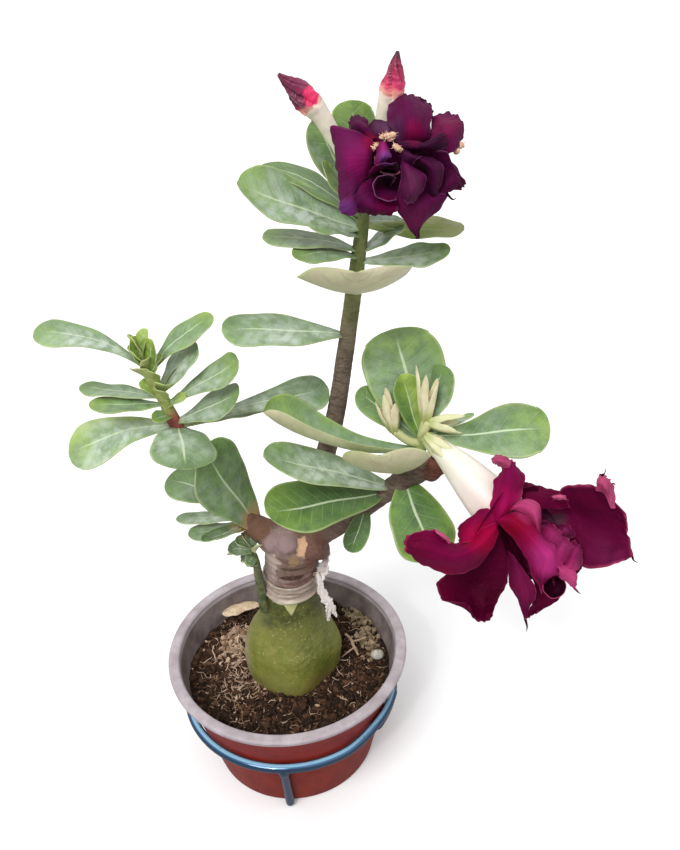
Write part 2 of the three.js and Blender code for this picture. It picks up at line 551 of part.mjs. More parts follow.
const sucker = {
  points: [[-9, -6, 93], [-9.7, -6.5, 108], [-9, -8, 129], [-11, -8, 137]],
  radii: [1.8, 1.6, 1.4, 1],
};
place('sucker', stem(sucker.points, sucker.radii, { steps: 8, sides: 8 }), YOUNG_GREEN, {
  grown: stem(sucker.points, sucker.radii, { steps: 8, sides: 8, grow: GAP }),
});

for (const [name, flower] of Object.entries(FLOWERS)) {
  place(name, corolla(flower), flower.material, { grown: corolla(flower, GAP) });
}
for (const [name, { points, radii }] of Object.entries(BUDS)) {
  place(name, stem(points, radii, { steps: 10, sides: 10 }), PINK_BUD, {
    grown: stem(points, radii, { steps: 10, sides: 10, grow: GAP }),
  });
}
for (const [name, leaf] of Object.entries(LEAVES)) {
  const base = onStem(leaf.stem, leaf.at);
  const d = direction(leaf.heading, leaf.rise);
  const grownLeaf = { ...leaf, length: leaf.length + GAP, width: leaf.width + 2 * GAP };
  place(name, blade(base, d, vec(0, 0, 1), leaf, LEAF_THICKNESS), leaf.young ? YOUNG_GREEN : LEAF_GREEN, {
    grown: blade(base, d, vec(0, 0, 1), grownLeaf, LEAF_THICKNESS + 2 * GAP),
  });
}

const suckerLeaf = { length: 9, width: 10, neck: 0.8, blunt: 3, roll: 10 };
place('sucker_leaf', blade(
  vec(-8.6, -8, 127), direction(188, 31), vec(0, 0, 1), suckerLeaf, LEAF_THICKNESS,
), LEAF_GREEN);

const dryLeaf = { length: 22, width: 8, neck: 0.4, blunt: 5, bow: 1.5, cup: -0.25 };
place('dry_leaf', blade(
  vec(-19, 44.5, 54), direction(195, 2), vec(0, 0, 1), dryLeaf, LEAF_THICKNESS,
), DRY_LEAF);
place('pale_stone', solidOf(
  new THREE.IcosahedronGeometry(3.4, 1).scale(1, 0.8, 0.8).translate(45.5, 2, 53.2),
), PALE_STONE);

export default group;
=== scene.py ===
"""A grafted desert rose in flower, in a tapered plastic pot that stands in a bent-wire holder.

Lengths are worked out in millimetres, +Z up, with the origin at the centre of the pot's base, and
are turned into metres when a mesh is made. The top flower faces -Y, towards the camera.
"""

import bpy
import math
import numpy as np
from mathutils import Matrix


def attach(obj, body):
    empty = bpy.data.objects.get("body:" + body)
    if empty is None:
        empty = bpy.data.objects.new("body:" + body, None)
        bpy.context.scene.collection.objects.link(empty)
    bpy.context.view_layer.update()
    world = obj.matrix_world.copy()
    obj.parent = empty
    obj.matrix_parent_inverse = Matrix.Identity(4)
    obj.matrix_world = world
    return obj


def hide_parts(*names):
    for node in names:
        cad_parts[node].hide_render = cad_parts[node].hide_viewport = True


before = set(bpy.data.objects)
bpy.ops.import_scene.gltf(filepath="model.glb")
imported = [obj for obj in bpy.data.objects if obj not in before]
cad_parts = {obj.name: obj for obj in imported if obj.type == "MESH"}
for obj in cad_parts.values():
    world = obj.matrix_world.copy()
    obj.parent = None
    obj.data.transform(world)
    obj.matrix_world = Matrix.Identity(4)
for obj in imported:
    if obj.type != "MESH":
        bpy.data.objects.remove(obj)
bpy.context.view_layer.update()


# ---------------------------------------------------------------- pot
# A squat grower's pot: one thin-walled moulding in terracotta-red plastic with a turned-out lip
# that has weathered to a dusty lilac grey. The floor has five drain holes.

MM = 0.001
POT_BASE, POT_NECK, POT_RIM = 41.5, 55.5, 60.0
POT_HEIGHT, LIP_FOOT, POT_WALL = 66.0, 61.8, 1.8
HOLE_CIRCLE, HOLE_RADIUS, HOLE_DEPTH = 25.0, 4.2, 2.2  # each hole ends at the dark mix


def circle(count):
    """Angles evenly spaced round a full turn."""
    return np.arange(count) / count * 2 * np.pi


def closed_rings(rings, joined=False, folded=False):
    """Points and faces of a skin over rings of points (ring, place, xyz). Each ring is a closed loop.
    The two end rings are closed by fans to their middles, or joined to each other, or each is closed
    by a strip between its first half and its second, as a folded sheet is. If the signed volume, the
    sum over faces of centre dot normal, is below zero, the faces are turned round."""
    rows, sides = rings.shape[:2]
    points = rings.reshape(-1, 3)
    i, j = np.meshgrid(np.arange(rows if joined else rows - 1), np.arange(sides), indexing="ij")
    after, across = (i + 1) % rows, (j + 1) % sides
    quads = np.stack([i * sides + j, i * sides + across, after * sides + across, after * sides + j], -1)
    faces = [quads.reshape(-1, 4)]
    if folded:
        k = np.arange(sides // 2 - 1)
        strip_ends = np.stack([k + 1, k, sides - 1 - k, sides - 2 - k], -1)
        faces += [strip_ends, strip_ends[:, ::-1] + (rows - 1) * sides]
    elif not joined:
        k = np.arange(sides)
        n = len(points)
        points = np.vstack([points, rings[0].mean(0), rings[-1].mean(0)])
        last = (rows - 1) * sides
        faces.append(np.stack([np.full(sides, n), (k + 1) % sides, k], -1))
        faces.append(np.stack([np.full(sides, n + 1), last + k, last + (k + 1) % sides], -1))
    volume = 0.0
    for f in faces:
        a, b, c = points[f[:, 0]], points[f[:, 1]], points[f[:, 2]]
        volume += np.einsum("ij,ij->", a, np.cross(b, c))
        if f.shape[1] == 4:
            volume += np.einsum("ij,ij->", a, np.cross(c, points[f[:, 3]]))
    if volume < 0:
        faces = [f[:, ::-1] for f in faces]
    return points, faces


def make_piece(name, skin, material, values=None, smooth=True):
    """A mesh object in metres from points and faces in millimetres. Each value is one number or one
    colour for each point, kept as an attribute that the material reads."""
    points, faces = skin
    mesh = bpy.data.meshes.new(name)
    mesh.vertices.add(len(points))
    mesh.vertices.foreach_set("co", (points * MM).astype(np.float32).ravel())
    corners = np.concatenate([f.ravel() for f in faces]).astype(np.int32)
    sizes = np.concatenate([np.full(len(f), f.shape[1]) for f in faces])
    mesh.loops.add(len(corners))
    mesh.loops.foreach_set("vertex_index", corners)
    mesh.polygons.add(len(sizes))
    mesh.polygons.foreach_set("loop_start", np.concatenate([[0], np.cumsum(sizes)[:-1]]).astype(np.int32))
    mesh.update(calc_edges=True)
    mesh.polygons.foreach_set("use_smooth", np.full(len(sizes), smooth))
    for key, numbers in (values or {}).items():
        numbers = np.asarray(numbers, np.float32)
        if numbers.ndim == 1:
            mesh.attributes.new(key, "FLOAT", "POINT").data.foreach_set("value", numbers)
        else:
            full = np.hstack([numbers, np.ones((len(numbers), 1), np.float32)])
            mesh.attributes.new(key, "FLOAT_COLOR", "POINT").data.foreach_set("color", full.ravel())
    mesh.materials.append(material)
    made = bpy.data.objects.new(name, mesh)
    bpy.context.scene.collection.objects.link(made)
    return made


def reckoned(operation, swapped=False):
    """A sum of that kind on Values and numbers, as one Math node in their node tree."""

    def found(*values):
        inputs = enumerate(values[::-1] if swapped else values)
        return node(values[0].tree, "Math", 0, inputs, operation=operation)

    return found


class Value:
    """A number or a colour in a shader, with the arithmetic signs."""

    def __init__(self, socket):
        self.socket, self.tree = socket, socket.id_data

    __add__, __radd__ = reckoned("ADD"), reckoned("ADD", True)
    __sub__, __rsub__ = reckoned("SUBTRACT"), reckoned("SUBTRACT", True)
    __mul__, __truediv__, __pow__ = reckoned("MULTIPLY"), reckoned("DIVIDE"), reckoned("POWER")
    __abs__, __round__ = reckoned("ABSOLUTE"), reckoned("ROUND")


def feed(socket, value):
    """Sets a socket to a plain value, or links it to the output that a Value stands for."""
    if isinstance(value, Value):
        value.tree.links.new(value.socket, socket)
    else:
        socket.default_value = value


def node(tree, kind, output, inputs=(), **settings):
    """Adds one shader node and returns the output asked for, or a list when several are asked for.
    Each input is a socket and its value."""
    made = tree.nodes.new("ShaderNode" + kind)
    for key, value in settings.items():
        setattr(made, key, value)
    for socket, value in inputs:
        feed(made.inputs[socket], value)
    several = isinstance(output, tuple)
    found = [Value(made.outputs[key]) for key in (output if several else [output])]
    return found if several else found[0]


def mix(share, first, second):
    """Colour blend: share 0 gives the first colour and 1 the second."""
    colours = [(*c, 1.0) if isinstance(c, tuple) else c for c in (first, second)]
    return node(share.tree, "Mix", 2, [(0, share), (6, colours[0]), (7, colours[1])], data_type="RGBA")


def step(value, low, high):
    """0 below low, 1 above high, and a smooth rise between."""
    limits = [("Value", value), ("From Min", low), ("From Max", high)]
    return node(value.tree, "MapRange", "Result", limits, interpolation_type="SMOOTHSTEP")


def split(where):
    return node(where.tree, "SeparateXYZ", (0, 1, 2), [(0, where)])


def new_material(name, **plain):
    """A material with one Principled shader, and the object coordinates. Plain values are set on the
    shader's own sockets."""
    made = bpy.data.materials.new(name)
    made.use_nodes = True
    shader = made.node_tree.nodes["Principled BSDF"]
    for key, value in plain.items():
        feed(shader.inputs[key.replace("_", " ")], value)
    return made, shader, node(made.node_tree, "TexCoord", "Object")


def dress(shader, colour, height, depth_mm, strength, roughness=None):
    """Gives the shader its colour, a bump of that depth, and its roughness."""
    feed(shader.inputs["Base Color"], colour)
    if roughness is not None:
        feed(shader.inputs["Roughness"], roughness)
    settings = [("Height", height), ("Distance", depth_mm * MM), ("Strength", strength)]
    feed(shader.inputs["Normal"], node(shader.id_data, "Bump", "Normal", settings))


def new_group(name, inputs, outputs):
    """A shader node group, its inputs and its output sockets. Inputs are name, kind and default."""
    group = bpy.data.node_groups.new(name, "ShaderNodeTree")
    for label, kind, default in inputs:
        socket = group.interface.new_socket(label, in_out="INPUT", socket_type="NodeSocket" + kind)
        if default is not None:
            socket.default_value = default
    for label in outputs:
        group.interface.new_socket(label, in_out="OUTPUT", socket_type="NodeSocketFloat")
    given = [Value(socket) for socket in group.nodes.new("NodeGroupInput").outputs if socket.name]
    return group, given, group.nodes.new("NodeGroupOutput").inputs


# Blotches: noise cut to a soft-edged mask. Size is in blotches per metre; cover is the share covered.
blotches, (at_place, per_metre, cover, softness), made_here = new_group(
    "blotches",
    [
        ("Vector", "Vector", None), ("Per metre", "Float", 200.0), ("Cover", "Float", 0.5),
        ("Softness", "Float", 0.1)
    ],
    ["Mask", "Height"]
)
noise = node(
    blotches, "TexNoise", "Fac",
    [("Vector", at_place), ("Scale", per_metre), ("Detail", 5.0), ("Roughness", 0.6)]
)
edge = 0.72 - cover * 0.44
feed(made_here["Mask"], step(noise, edge - softness, edge + softness))
feed(made_here["Height"], noise)


def blotch(where, per_metre, cover, softness=0.06):
    """The mask and the height of the blotches."""
    settings = [("Vector", where), ("Per metre", per_metre), ("Cover", cover), ("Softness", softness)]
    return node(where.tree, "Group", ("Mask", "Height"), settings, node_tree=blotches)


pot_material, shader, place = new_material("terracotta_plastic", Specular_IOR_Level=0.22, Coat_Roughness=0.35)
px, py, pz = split(place)
radius = (px**2.0 + py**2.0) ** 0.5
outer_wall = POT_BASE * MM - 0.0009 + pz * ((POT_NECK - POT_BASE) / LIP_FOOT)
outside = step(radius - outer_wall, -0.0003, 0.0003)
on_lip = step(pz, 0.0624, 0.063)
cloud, _ = blotch(place, 90.0, 0.5, 0.2)
scuff, fine = blotch(place, 520.0, 0.34, 0.05)
dust, _ = blotch(place, 260.0, 0.35, 0.12)
red = mix(cloud, (0.172, 0.009, 0.003), (0.245, 0.017, 0.006))
red = mix(dust * 0.1, red, (0.27, 0.055, 0.04))
high = step(pz, 0.05, 0.062)
red = mix(high * 0.55, red, (0.27, 0.05, 0.055))
inner = mix(cloud, (0.12, 0.092, 0.092), (0.26, 0.212, 0.205))
in_hole = step(pz, 0.0006, 0.0012) * step(pz, 0.0023, 0.00225)
red = mix(in_hole * step(radius, 0.031, 0.03), red, (0.01, 0.006, 0.005))
inner = mix(in_hole * step(radius, 0.031, 0.03), inner, (0.01, 0.006, 0.005))
wall = mix(outside, inner, red)
lilac = mix(cloud, (0.335, 0.285, 0.305), (0.475, 0.43, 0.46))
lilac = mix(scuff * 0.35, lilac, (0.4, 0.29, 0.28))
dress(shader, mix(on_lip, wall, lilac), fine, 0.04, 0.4, 0.36 + fine * 0.22)


def revolve(profile, sides, wobble=None):
    """A profile of radius and height turned round the Z axis. Wobble is an extra radius for each
    profile point and angle."""
    turn = circle(sides)
    r = profile[:, 0, None] + (0 * turn if wobble is None else wobble(profile, turn))
    return np.stack([r * np.cos(turn), r * np.sin(turn), np.broadcast_to(profile[:, 1, None], r.shape)], -1)


def rounded(corners, per_corner=5):
    """A polyline whose corners are replaced by quadratic curves. Each corner is r, z and how far back
    along its sides the curve starts."""
    out = [np.array(corners[0][:2], float)[None]]
    for before, here, after in zip(corners, corners[1:], corners[2:]):
        p, q, s = (np.array(c[:2], float) for c in (before, here, after))
        a = q + (p - q) / np.linalg.norm(p - q) * here[2]
        b = q + (s - q) / np.linalg.norm(s - q) * here[2]
        t = np.linspace(0, 1, per_corner)[:, None]
        out.append((1 - t) ** 2 * a + 2 * t * (1 - t) * q + t**2 * b)
    out.append(np.array(corners[-1][:2], float)[None])
    return np.vstack(out)


def wall_radius(z):
    return POT_BASE + (POT_NECK - POT_BASE) * z / LIP_FOOT


pot_profile = rounded([
    (0.05, 0, 0), (36, 0, 0.5), (37, 0.9, 0.5), (39, 0.9, 0.4), (40, 0, 0.4), (POT_BASE, 0, 1.2),
    (wall_radius(30), 30, 1), (wall_radius(60), 60, 0.8), (57.0, 62.5, 0.7), (59.5, 63.0, 0.5),
    (POT_RIM, 64.2, 0.7), (POT_RIM - 0.2, POT_HEIGHT, 1.3), (54.7, POT_HEIGHT, 1.1),
    (wall_radius(64) - POT_WALL, 64, 1), (wall_radius(30) - POT_WALL, 30, 1),
    (wall_radius(2.4) - POT_WALL, 2.4, 2.0), (0.05, 2.4, 0)
])
floor_rows = slice(1, 34)
under_floor = np.stack([np.linspace(20, 30, 33), np.zeros(33)], -1)
pot_profile = np.vstack([pot_profile[:1], under_floor, pot_profile[1:]])
pot_rings = revolve(pot_profile, 200, lambda p, turn: 0.18 * np.sin(3 * turn + 0.7) * (p[:, 1, None] > 55))
hole_turn = np.radians(36) + circle(5)
hole_xy = HOLE_CIRCLE * np.stack([np.cos(hole_turn), np.sin(hole_turn)], -1)
from_hole = np.linalg.norm(pot_rings[floor_rows, :, None, :2] - hole_xy, axis=-1).min(-1)
pot_rings[floor_rows, :, 2] = HOLE_DEPTH * np.clip((HOLE_RADIUS - from_hole) / 0.4, 0, 1)
pot = make_piece("pot_body", closed_rings(pot_rings), pot_material)
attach(pot, "root")
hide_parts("pot")


# ---------------------------------------------------------------- wire holder
# A ring of thick steel wire, dipped in glossy navy, that clasps the pot's wall. Its ends lap at the
# right, and three straight legs, welded under the ring, follow the wall to the ground.

WIRE = 2.2
RING_Z = 39.0
WALL_LEAN = math.atan((POT_NECK - POT_BASE) / LIP_FOOT)


def unit(v):
    return v / np.maximum(np.linalg.norm(v, axis=-1, keepdims=True), 1e-9)


def limb(path, radii, sides=16, relief=None):
    """Rings of a round section carried along a path of points. Relief adds to the radius: it is given
    the share of the length and the angle, as whole arrays."""
    along = unit(np.gradient(path, axis=0))
    side = unit(np.cross(along, [0.0, 1.0, 0.05]))
    third = np.cross(along, side)
    turn = circle(sides)
    share = np.linspace(0, 1, len(path))[:, None]
    r = np.broadcast_to(np.asarray(radii, float).reshape(-1, 1), (len(path), sides))
    if relief is not None:
        r = r + relief(share, turn[None])
    around = np.cos(turn)[:, None] * side[:, None] + np.sin(turn)[:, None] * third[:, None]
    return path[:, None] + r[..., None] * around


def from_ends(count):
    return np.minimum(np.arange(count), count - 1 - np.arange(count))


def rounded_off(steps, reach, lowest):
    """A factor for the radius that closes an end in a quarter circle over that many steps."""
    return np.sqrt(np.clip(1 - (1 - np.clip(steps / reach, 0, 1)) ** 2, lowest, 1))


def ease(x):
    return x**2 * (3 - 2 * x)


def wire_centre(z):
    return wall_radius(z) + (WIRE + 0.3) / math.cos(WALL_LEAN)


TURNED, LAP_START, LEGS = 386, 338, 3
RING_STEPS, LEG_STEPS, BEAD_STEPS = 260, 30, 14
swept = np.linspace(0, TURNED, RING_STEPS)
ring_z = RING_Z + 2 * WIRE * 0.97 * ease(np.clip((swept - LAP_START) / 24, 0, 1))
heading = np.radians(-38 + swept)
ring = np.stack([wire_centre(ring_z) * np.cos(heading), wire_centre(ring_z) * np.sin(heading), ring_z], -1)
wire_skins = [closed_rings(limb(ring, WIRE * rounded_off(from_ends(RING_STEPS), 2.0, 0.02), 20))]
for number in range(LEGS):
    angle = math.radians(-93 + 360 / LEGS * number)
    leg_girth = WIRE * rounded_off(np.arange(LEG_STEPS), 1.5, 0.2)
    knobs = 0.05 * np.sin(np.arange(BEAD_STEPS) * 2.1 + number)
    bead_girth = WIRE * (1.0 + 0.28 * np.sin(np.linspace(0, np.pi, BEAD_STEPS)) + knobs)
    for z, girth in (
        (np.linspace(WIRE * 0.35, RING_Z - 0.8, LEG_STEPS), leg_girth),
        (np.linspace(RING_Z - 6.0, RING_Z + 0.5, BEAD_STEPS), bead_girth)
    ):
        path = np.stack([wire_centre(z) * math.cos(angle), wire_centre(z) * math.sin(angle), z], -1)
        wire_skins.append(closed_rings(limb(path, girth, 18)))
wire_material, shader, place = new_material("navy_coated_wire", Roughness=0.1, IOR=1.9)
shader.inputs["Specular Tint"].default_value = (0.55, 0.78, 1.0, 1)
chips, film = blotch(place, 330.0, 0.22, 0.05)
navy = mix(film, (0.001, 0.004, 0.022), (0.002, 0.018, 0.06))
facing = split(node(place.tree, "NewGeometry", "Normal"))[2]


def coats(colour, *layers):
    """Lays colours over the first one in turn. Each layer is its share and its colour."""
    for share, over in layers:
        colour = mix(share, colour, over)
    return colour


# Painted highlight: the upper side of the wire is painted lighter blue, with a pale cyan line along its top,
# for the sky's reflection on the gloss.
navy = coats(
    navy, (step(facing, 0.62, 0.9) * 0.9, (0.012, 0.11, 0.27)),
    (step(facing, 0.84, 0.98) * 0.9, (0.32, 0.6, 0.78))
)
dress(shader, mix(chips * 0.5, navy, (0.004, 0.03, 0.035)), film, 0.08, 0.3)


def gather(skins):
    """Several skins as one: the points are stacked and each skin's faces are shifted to its points."""
    start, points, faces = 0, [], []
    for p, fs in skins:
        faces += [f + start for f in fs]
        points.append(p)
        start += len(p)
    return np.vstack(points), faces


holder = make_piece("bent_wire_holder", gather(wire_skins), wire_material)
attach(holder, "root")
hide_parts("wire_holder")


# ---------------------------------------------------------------- potting mix
# Dry, dark, crumbly mix: coir, bark and roots. It is heaped a little round the plant, and is littered
# with crumbs, curled fibres and bark chips, moss at the right and a clump of pale fibres at the left.

SOIL_TOP = 51.0
dice = np.random.default_rng(12)


def ripples(points, size, seed, waves=24):
    """A smooth random height for each point: a sum of sine waves of random direction and phase,
    whose lengths lie round the given size."""
    rng = np.random.default_rng(seed)
    way = unit(rng.normal(size=(waves, points.shape[-1])))
    length = size * rng.uniform(0.6, 1.7, waves)
    phase = rng.uniform(0, 2 * np.pi, waves)
    return np.sin(points @ (way / length[:, None] * 2 * np.pi).T + phase).mean(-1) * math.sqrt(2)


def soil_height(xy):
    """The top of the mix: a low mound round the plant with coarse and fine lumps."""
    r = np.linalg.norm(xy - [2, 0], axis=-1)
    mound = 2.6 * np.exp(-((r - 20) / 12) ** 2)
    return SOIL_TOP + mound + 2.0 * ripples(xy, 13, 3) + 1.3 * ripples(xy, 4.5, 4) + 0.7 * ripples(xy, 1.8, 5)


profile_r = np.concatenate([[0.05], np.linspace(0.6, 51.3, 92)])
foot_z = np.array([44, 20, 4.0])
foot_profile = np.stack([wall_radius(foot_z) - POT_WALL - 0.5, foot_z], -1)
top_profile = np.stack([profile_r, 0 * profile_r], -1)
bed = revolve(np.vstack([top_profile, foot_profile, [(37.0, 2.8), (0.05, 2.8)]]), 360)
top = bed[: len(profile_r)]
top[..., 2] = soil_height(top[..., :2])
top[-1, :, 2] -= 1.0
soil_material, shader, place = new_material("potting_mix", Roughness=0.95, Specular_IOR_Level=0.15)


def stored(shader, *names):
    """The attributes of those names, as the piece holds them for each point."""
    found = [node(shader.id_data, "Attribute", "Fac", attribute_name=name) for name in names]
    return found if len(names) > 1 else found[0]


tone, moss_share = stored(shader, "tone", "moss")
patch, lumps = blotch(place, 240.0, 0.5, 0.15)
speck, grain = blotch(place, 1500.0, 0.28, 0.05)


def ramp(value, *stops):
    """A colour that runs through the stops, each a place from 0 to 1 and its red, green and blue."""
    shown = node(value.tree, "ValToRGB", 0, [(0, value)])
    elements = shown.socket.node.color_ramp.elements
    while len(elements) < len(stops):
        elements.new(0.5)
    for element, (position, *colour) in zip(elements, stops):
        element.position, element.color = position, (*colour, 1)
    return shown


shades = ramp(
    tone + lumps * 0.22, (0.0, 0.006, 0.004, 0.003), (0.35, 0.026, 0.014, 0.009),
    (0.6, 0.085, 0.04, 0.022), (0.8, 0.26, 0.155, 0.095), (1.0, 0.62, 0.46, 0.335)
)
mulch = mix(speck * 0.4, shades, (0.2, 0.12, 0.07))
greyed = mix(patch, (0.15, 0.15, 0.07), (0.235, 0.205, 0.13))
mulch = mix(moss_share * 0.7, mulch, greyed)
dress(shader, mulch, grain, 0.5, 0.9)
soil_skin = closed_rings(bed)


def filled(skin, **levels):
    """One value all over a skin, for each name."""
    return {name: np.full(len(skin[0]), level) for name, level in levels.items()}


soil_values = {"tone": 0.16 + 0.14 * ripples(soil_skin[0], 9, 8)} | filled(soil_skin, moss=0.0)
soil = make_piece("potting_mix", soil_skin, soil_material, soil_values)
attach(soil, "root")
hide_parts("soil")

GOLDEN = (1 + 5**0.5) / 2
CRUMB = np.array([
    (-1, GOLDEN, 0), (1, GOLDEN, 0), (-1, -GOLDEN, 0), (1, -GOLDEN, 0), (0, -1, GOLDEN), (0, 1, GOLDEN),
    (0, -1, -GOLDEN), (0, 1, -GOLDEN), (GOLDEN, 0, -1), (GOLDEN, 0, 1), (-GOLDEN, 0, -1), (-GOLDEN, 0, 1)
]) / 1.9
CRUMB_FACES = np.array([
    (0, 11, 5), (0, 5, 1), (0, 1, 7), (0, 7, 10), (0, 10, 11), (1, 5, 9), (5, 11, 4), (11, 10, 2),
    (10, 7, 6), (7, 1, 8), (3, 9, 4), (3, 4, 2), (3, 2, 6), (3, 6, 8), (3, 8, 9), (4, 9, 5), (2, 4, 11),
    (6, 2, 10), (8, 6, 7), (9, 8, 1)
])


def scatter(count, inner_r, outer_r, rng, centre=(0.0, 0.0), spread=None):
    """Random places on the mix, kept off the caudex and inside the wall."""
    if spread is None:
        r = np.sqrt(rng.uniform(inner_r**2, outer_r**2, count))
        a = rng.uniform(0, 2 * np.pi, count)
        xy = np.stack([r * np.cos(a), r * np.sin(a)], -1)
    else:
        xy = np.array(centre) + rng.normal(size=(count, 2)) * spread
    r = np.linalg.norm(xy, axis=1)
    xy *= np.minimum(1, (outer_r - 0.5) / np.maximum(r, 1e-6))[:, None]
    return xy


def crumbs(xy, sizes, rng, squash=0.75, lift=0.35):
    """A 20-faced lump at each place, each point pulled in or out at random, turned and flattened."""
    count = len(xy)
    frames = np.linalg.qr(rng.normal(size=(count, 3, 3)))[0]
    shape = CRUMB[None] * rng.uniform(0.65, 1.25, (count, 12, 1)) * np.array([1.25, 0.95, squash])
    lumps = np.einsum("nij,nkj->nki", frames, shape) * sizes[:, None, None]
    z = soil_height(xy) + sizes * lift
    points = lumps + np.concatenate([xy, z[:, None]], -1)[:, None]
    faces = CRUMB_FACES[None] + 12 * np.arange(count)[:, None, None]
    return points.reshape(-1, 3), [faces.reshape(-1, 3)]


def fibres(xy, lengths, girths, rng, curl=0.6, tilt=0.25, lift=0.6):
    """A curled four-sided thread at each place. Its heading turns steadily along its length, and the
    heading at each step is summed into the path, so a thread is an arc."""
    count, steps = len(xy), 8
    s = np.linspace(-0.5, 0.5, steps)
    a = rng.uniform(0, 2 * np.pi, (count, 1)) + rng.normal(size=(count, 1)) * curl * 2 * s + 0.5 * np.sin(
        s * 9 + rng.uniform(0, 6, (count, 1)))
    run = lengths[:, None] / steps
    x = np.cumsum(np.cos(a) * run, 1)
    y = np.cumsum(np.sin(a) * run, 1)
    x, y = x - x.mean(1, keepdims=True), y - y.mean(1, keepdims=True)
    slope = rng.normal(size=(count, 1)) * tilt
    z = (
        soil_height(xy)[:, None] + lift + slope * lengths[:, None] * s
        + 0.25 * lengths[:, None] * np.abs(slope) * 0.6
    )
    path = np.stack([xy[:, :1] + x, xy[:, 1:] + y, z], -1)
    r_now = np.linalg.norm(path[..., :2], axis=-1, keepdims=True)
    path[..., :2] *= np.minimum(1, 51.0 / r_now)
    across = np.stack([-np.sin(a), np.cos(a), np.zeros_like(a)], -1)
    girth = girths[:, None, None] * np.sqrt(np.clip(1.02 - (2 * s) ** 2, 0, 1))[None, :, None]
    upward = np.array([0, 0, 1.0])
    rings = np.stack(
        [path + across * girth, path + upward * girth, path - across * girth, path - upward * girth], 2
    )
    i, j = np.meshgrid(np.arange(steps - 1), np.arange(4), indexing="ij")
    quad = np.stack(
        [i * 4 + j, (i + 1) * 4 + j, (i + 1) * 4 + (j + 1) % 4, i * 4 + (j + 1) % 4], -1
    ).reshape(-1, 4)
    ends = np.array([[3, 2, 1, 0], [(steps - 1) * 4 + k for k in range(4)]])
    faces = np.vstack([quad, ends])[None, ..., ::-1] + (steps * 4) * np.arange(count)[:, None, None]
    return rings.reshape(-1, 3), [faces.reshape(-1, 4)]


litter = []


def strew(skin, count, tones, moss=0.0):
    """Adds lumps or fibres to the litter. Each has a random tone in the range."""
    each = len(skin[0]) // count
    litter.append((skin, {"tone": np.repeat(dice.uniform(*tones, count), each)} | filled(skin, moss=moss)))


for count, sizes, tones in (
    (2300, (0.4, 1.0), (0.05, 0.56)), (750, (0.9, 1.9), (0.04, 0.52)), (80, (1.6, 2.8), (0.12, 0.5)),
    (200, (0.4, 1.2), (0.66, 0.95))
):
    xy = scatter(count, 17, 50.5, dice)
    strew(crumbs(xy, dice.uniform(*sizes, count), dice), count, tones)
for count, length, girth, tones, centre, spread in (
    (820, (3, 11), (0.08, 0.24), (0.22, 0.74), (0, 0), None),
    (170, (4, 14), (0.09, 0.27), (0.7, 1.0), (0, 0), None),
    (380, (4, 12), (0.1, 0.3), (0.74, 1.05), (-28, 13), (4.5, 8)),
    (90, (5, 13), (0.1, 0.3), (0.62, 0.95), (-22, -14), (7, 6))
):
    xy = scatter(count, 19, 48, dice, centre, spread)
    strew(fibres(xy, dice.uniform(*length, count), dice.uniform(*girth, count), dice), count, tones)
for count, centre, spread, tones, moss in (
    (130, (38, 34), (4, 4), (0.6, 0.85), 0.9), (130, (41, 16), (3, 6), (0.6, 0.85), 0.7),
    (110, (-29, 14), (4, 6), (0.66, 0.92), 0.0), (60, (-22, 25), (6, 4), (0.62, 0.85), 0.0)
):
    xy = scatter(count, 0, 50.5, dice, centre, spread)
    strew(crumbs(xy, dice.uniform(0.6, 1.7, count), dice, lift=0.9), count, tones, moss)


def merged(parts):
    """Several skins, each with its values, as one skin with its values."""
    skins, values = zip(*parts)
    return gather(skins), {key: np.concatenate([v[key] for v in values]) for key in values[0]}


litter_skin, litter_values = merged(litter)
mulch_litter = make_piece("crumbs_and_fibres", litter_skin, soil_material, litter_values, smooth=False)
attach(mulch_litter, "root")


# ---------------------------------------------------------------- caudex
# The swollen rootstock: a smooth, waxy, leaf-green bottle with soft lobes, tan where it meets the mix
# and where old roots rub. Its top was slit and the scion's wedge pushed in.

CAUDEX_X = 2.6


def caudex_radius(z, turn):
    """A bottle profile in which the shoulders bulge left and right and the foot narrows at the front."""
    at = np.interp(
        z, [38, 44, 50, 55, 60, 66, 71, 75, 79, 83, 87, 91, 95, 99, 104.5],
        [13, 17.3, 20.6, 22.5, 23.3, 23.6, 23.0, 21.9, 20.3, 18.3, 16.3, 14.7, 13.6, 13.0, 12.8]
    )
    low = np.clip((84 - z) / 24, 0, 1)

    def bulge(heading, wide, height, tall):
        off = np.angle(np.exp(1j * (turn - heading)))
        return np.exp(-((off / wide) ** 2)) * np.exp(-(((z - height) / tall) ** 2))

    right, left = bulge(-0.1, 0.5, 70, 8), bulge(np.pi, 0.7, 66, 10)
    pinch, toe = bulge(-0.72, 0.35, 58, 12), bulge(-1.62, 0.5, 50, 9)
    return at + 0.55 * low * np.cos(5 * turn + 0.6) + 1.5 * right + 0.7 * left - 1.3 * pinch + 0.8 * toe


def smoothed(column):
    return np.convolve(np.pad(column, 4, "edge"), np.ones(9) / 9, "valid")


caudex_z = np.linspace(38, 104.5, 110)
turn = circle(144)
caudex_r = np.apply_along_axis(smoothed, 0, caudex_radius(caudex_z[:, None], turn[None]))
caudex_top = np.array([CAUDEX_X + 2.2, 0, 0])
outward = np.stack([np.cos(turn), np.sin(turn), 0 * turn], -1)
leaning = ease(np.clip((caudex_z - 78) / 20, 0, 1))[:, None, None] * [2.2, 0, 0]
caudex_points = caudex_r[..., None] * outward + leaning + [CAUDEX_X, 0, 0]
caudex_points[..., 2] = caudex_z[:, None]
warts = sum(
    high * ripples(caudex_points, size, seed)
    for high, size, seed in ((0.5, 12, 21), (0.26, 4.5, 22), (0.1, 1.7, 23))
)
caudex_points = caudex_points + outward * warts[..., None]
cap = (caudex_points[-1:] - caudex_top) * [0.8, 0.8, 1] + caudex_top + [0, 0, 0.6]
caudex_points = np.concatenate([caudex_points, cap])
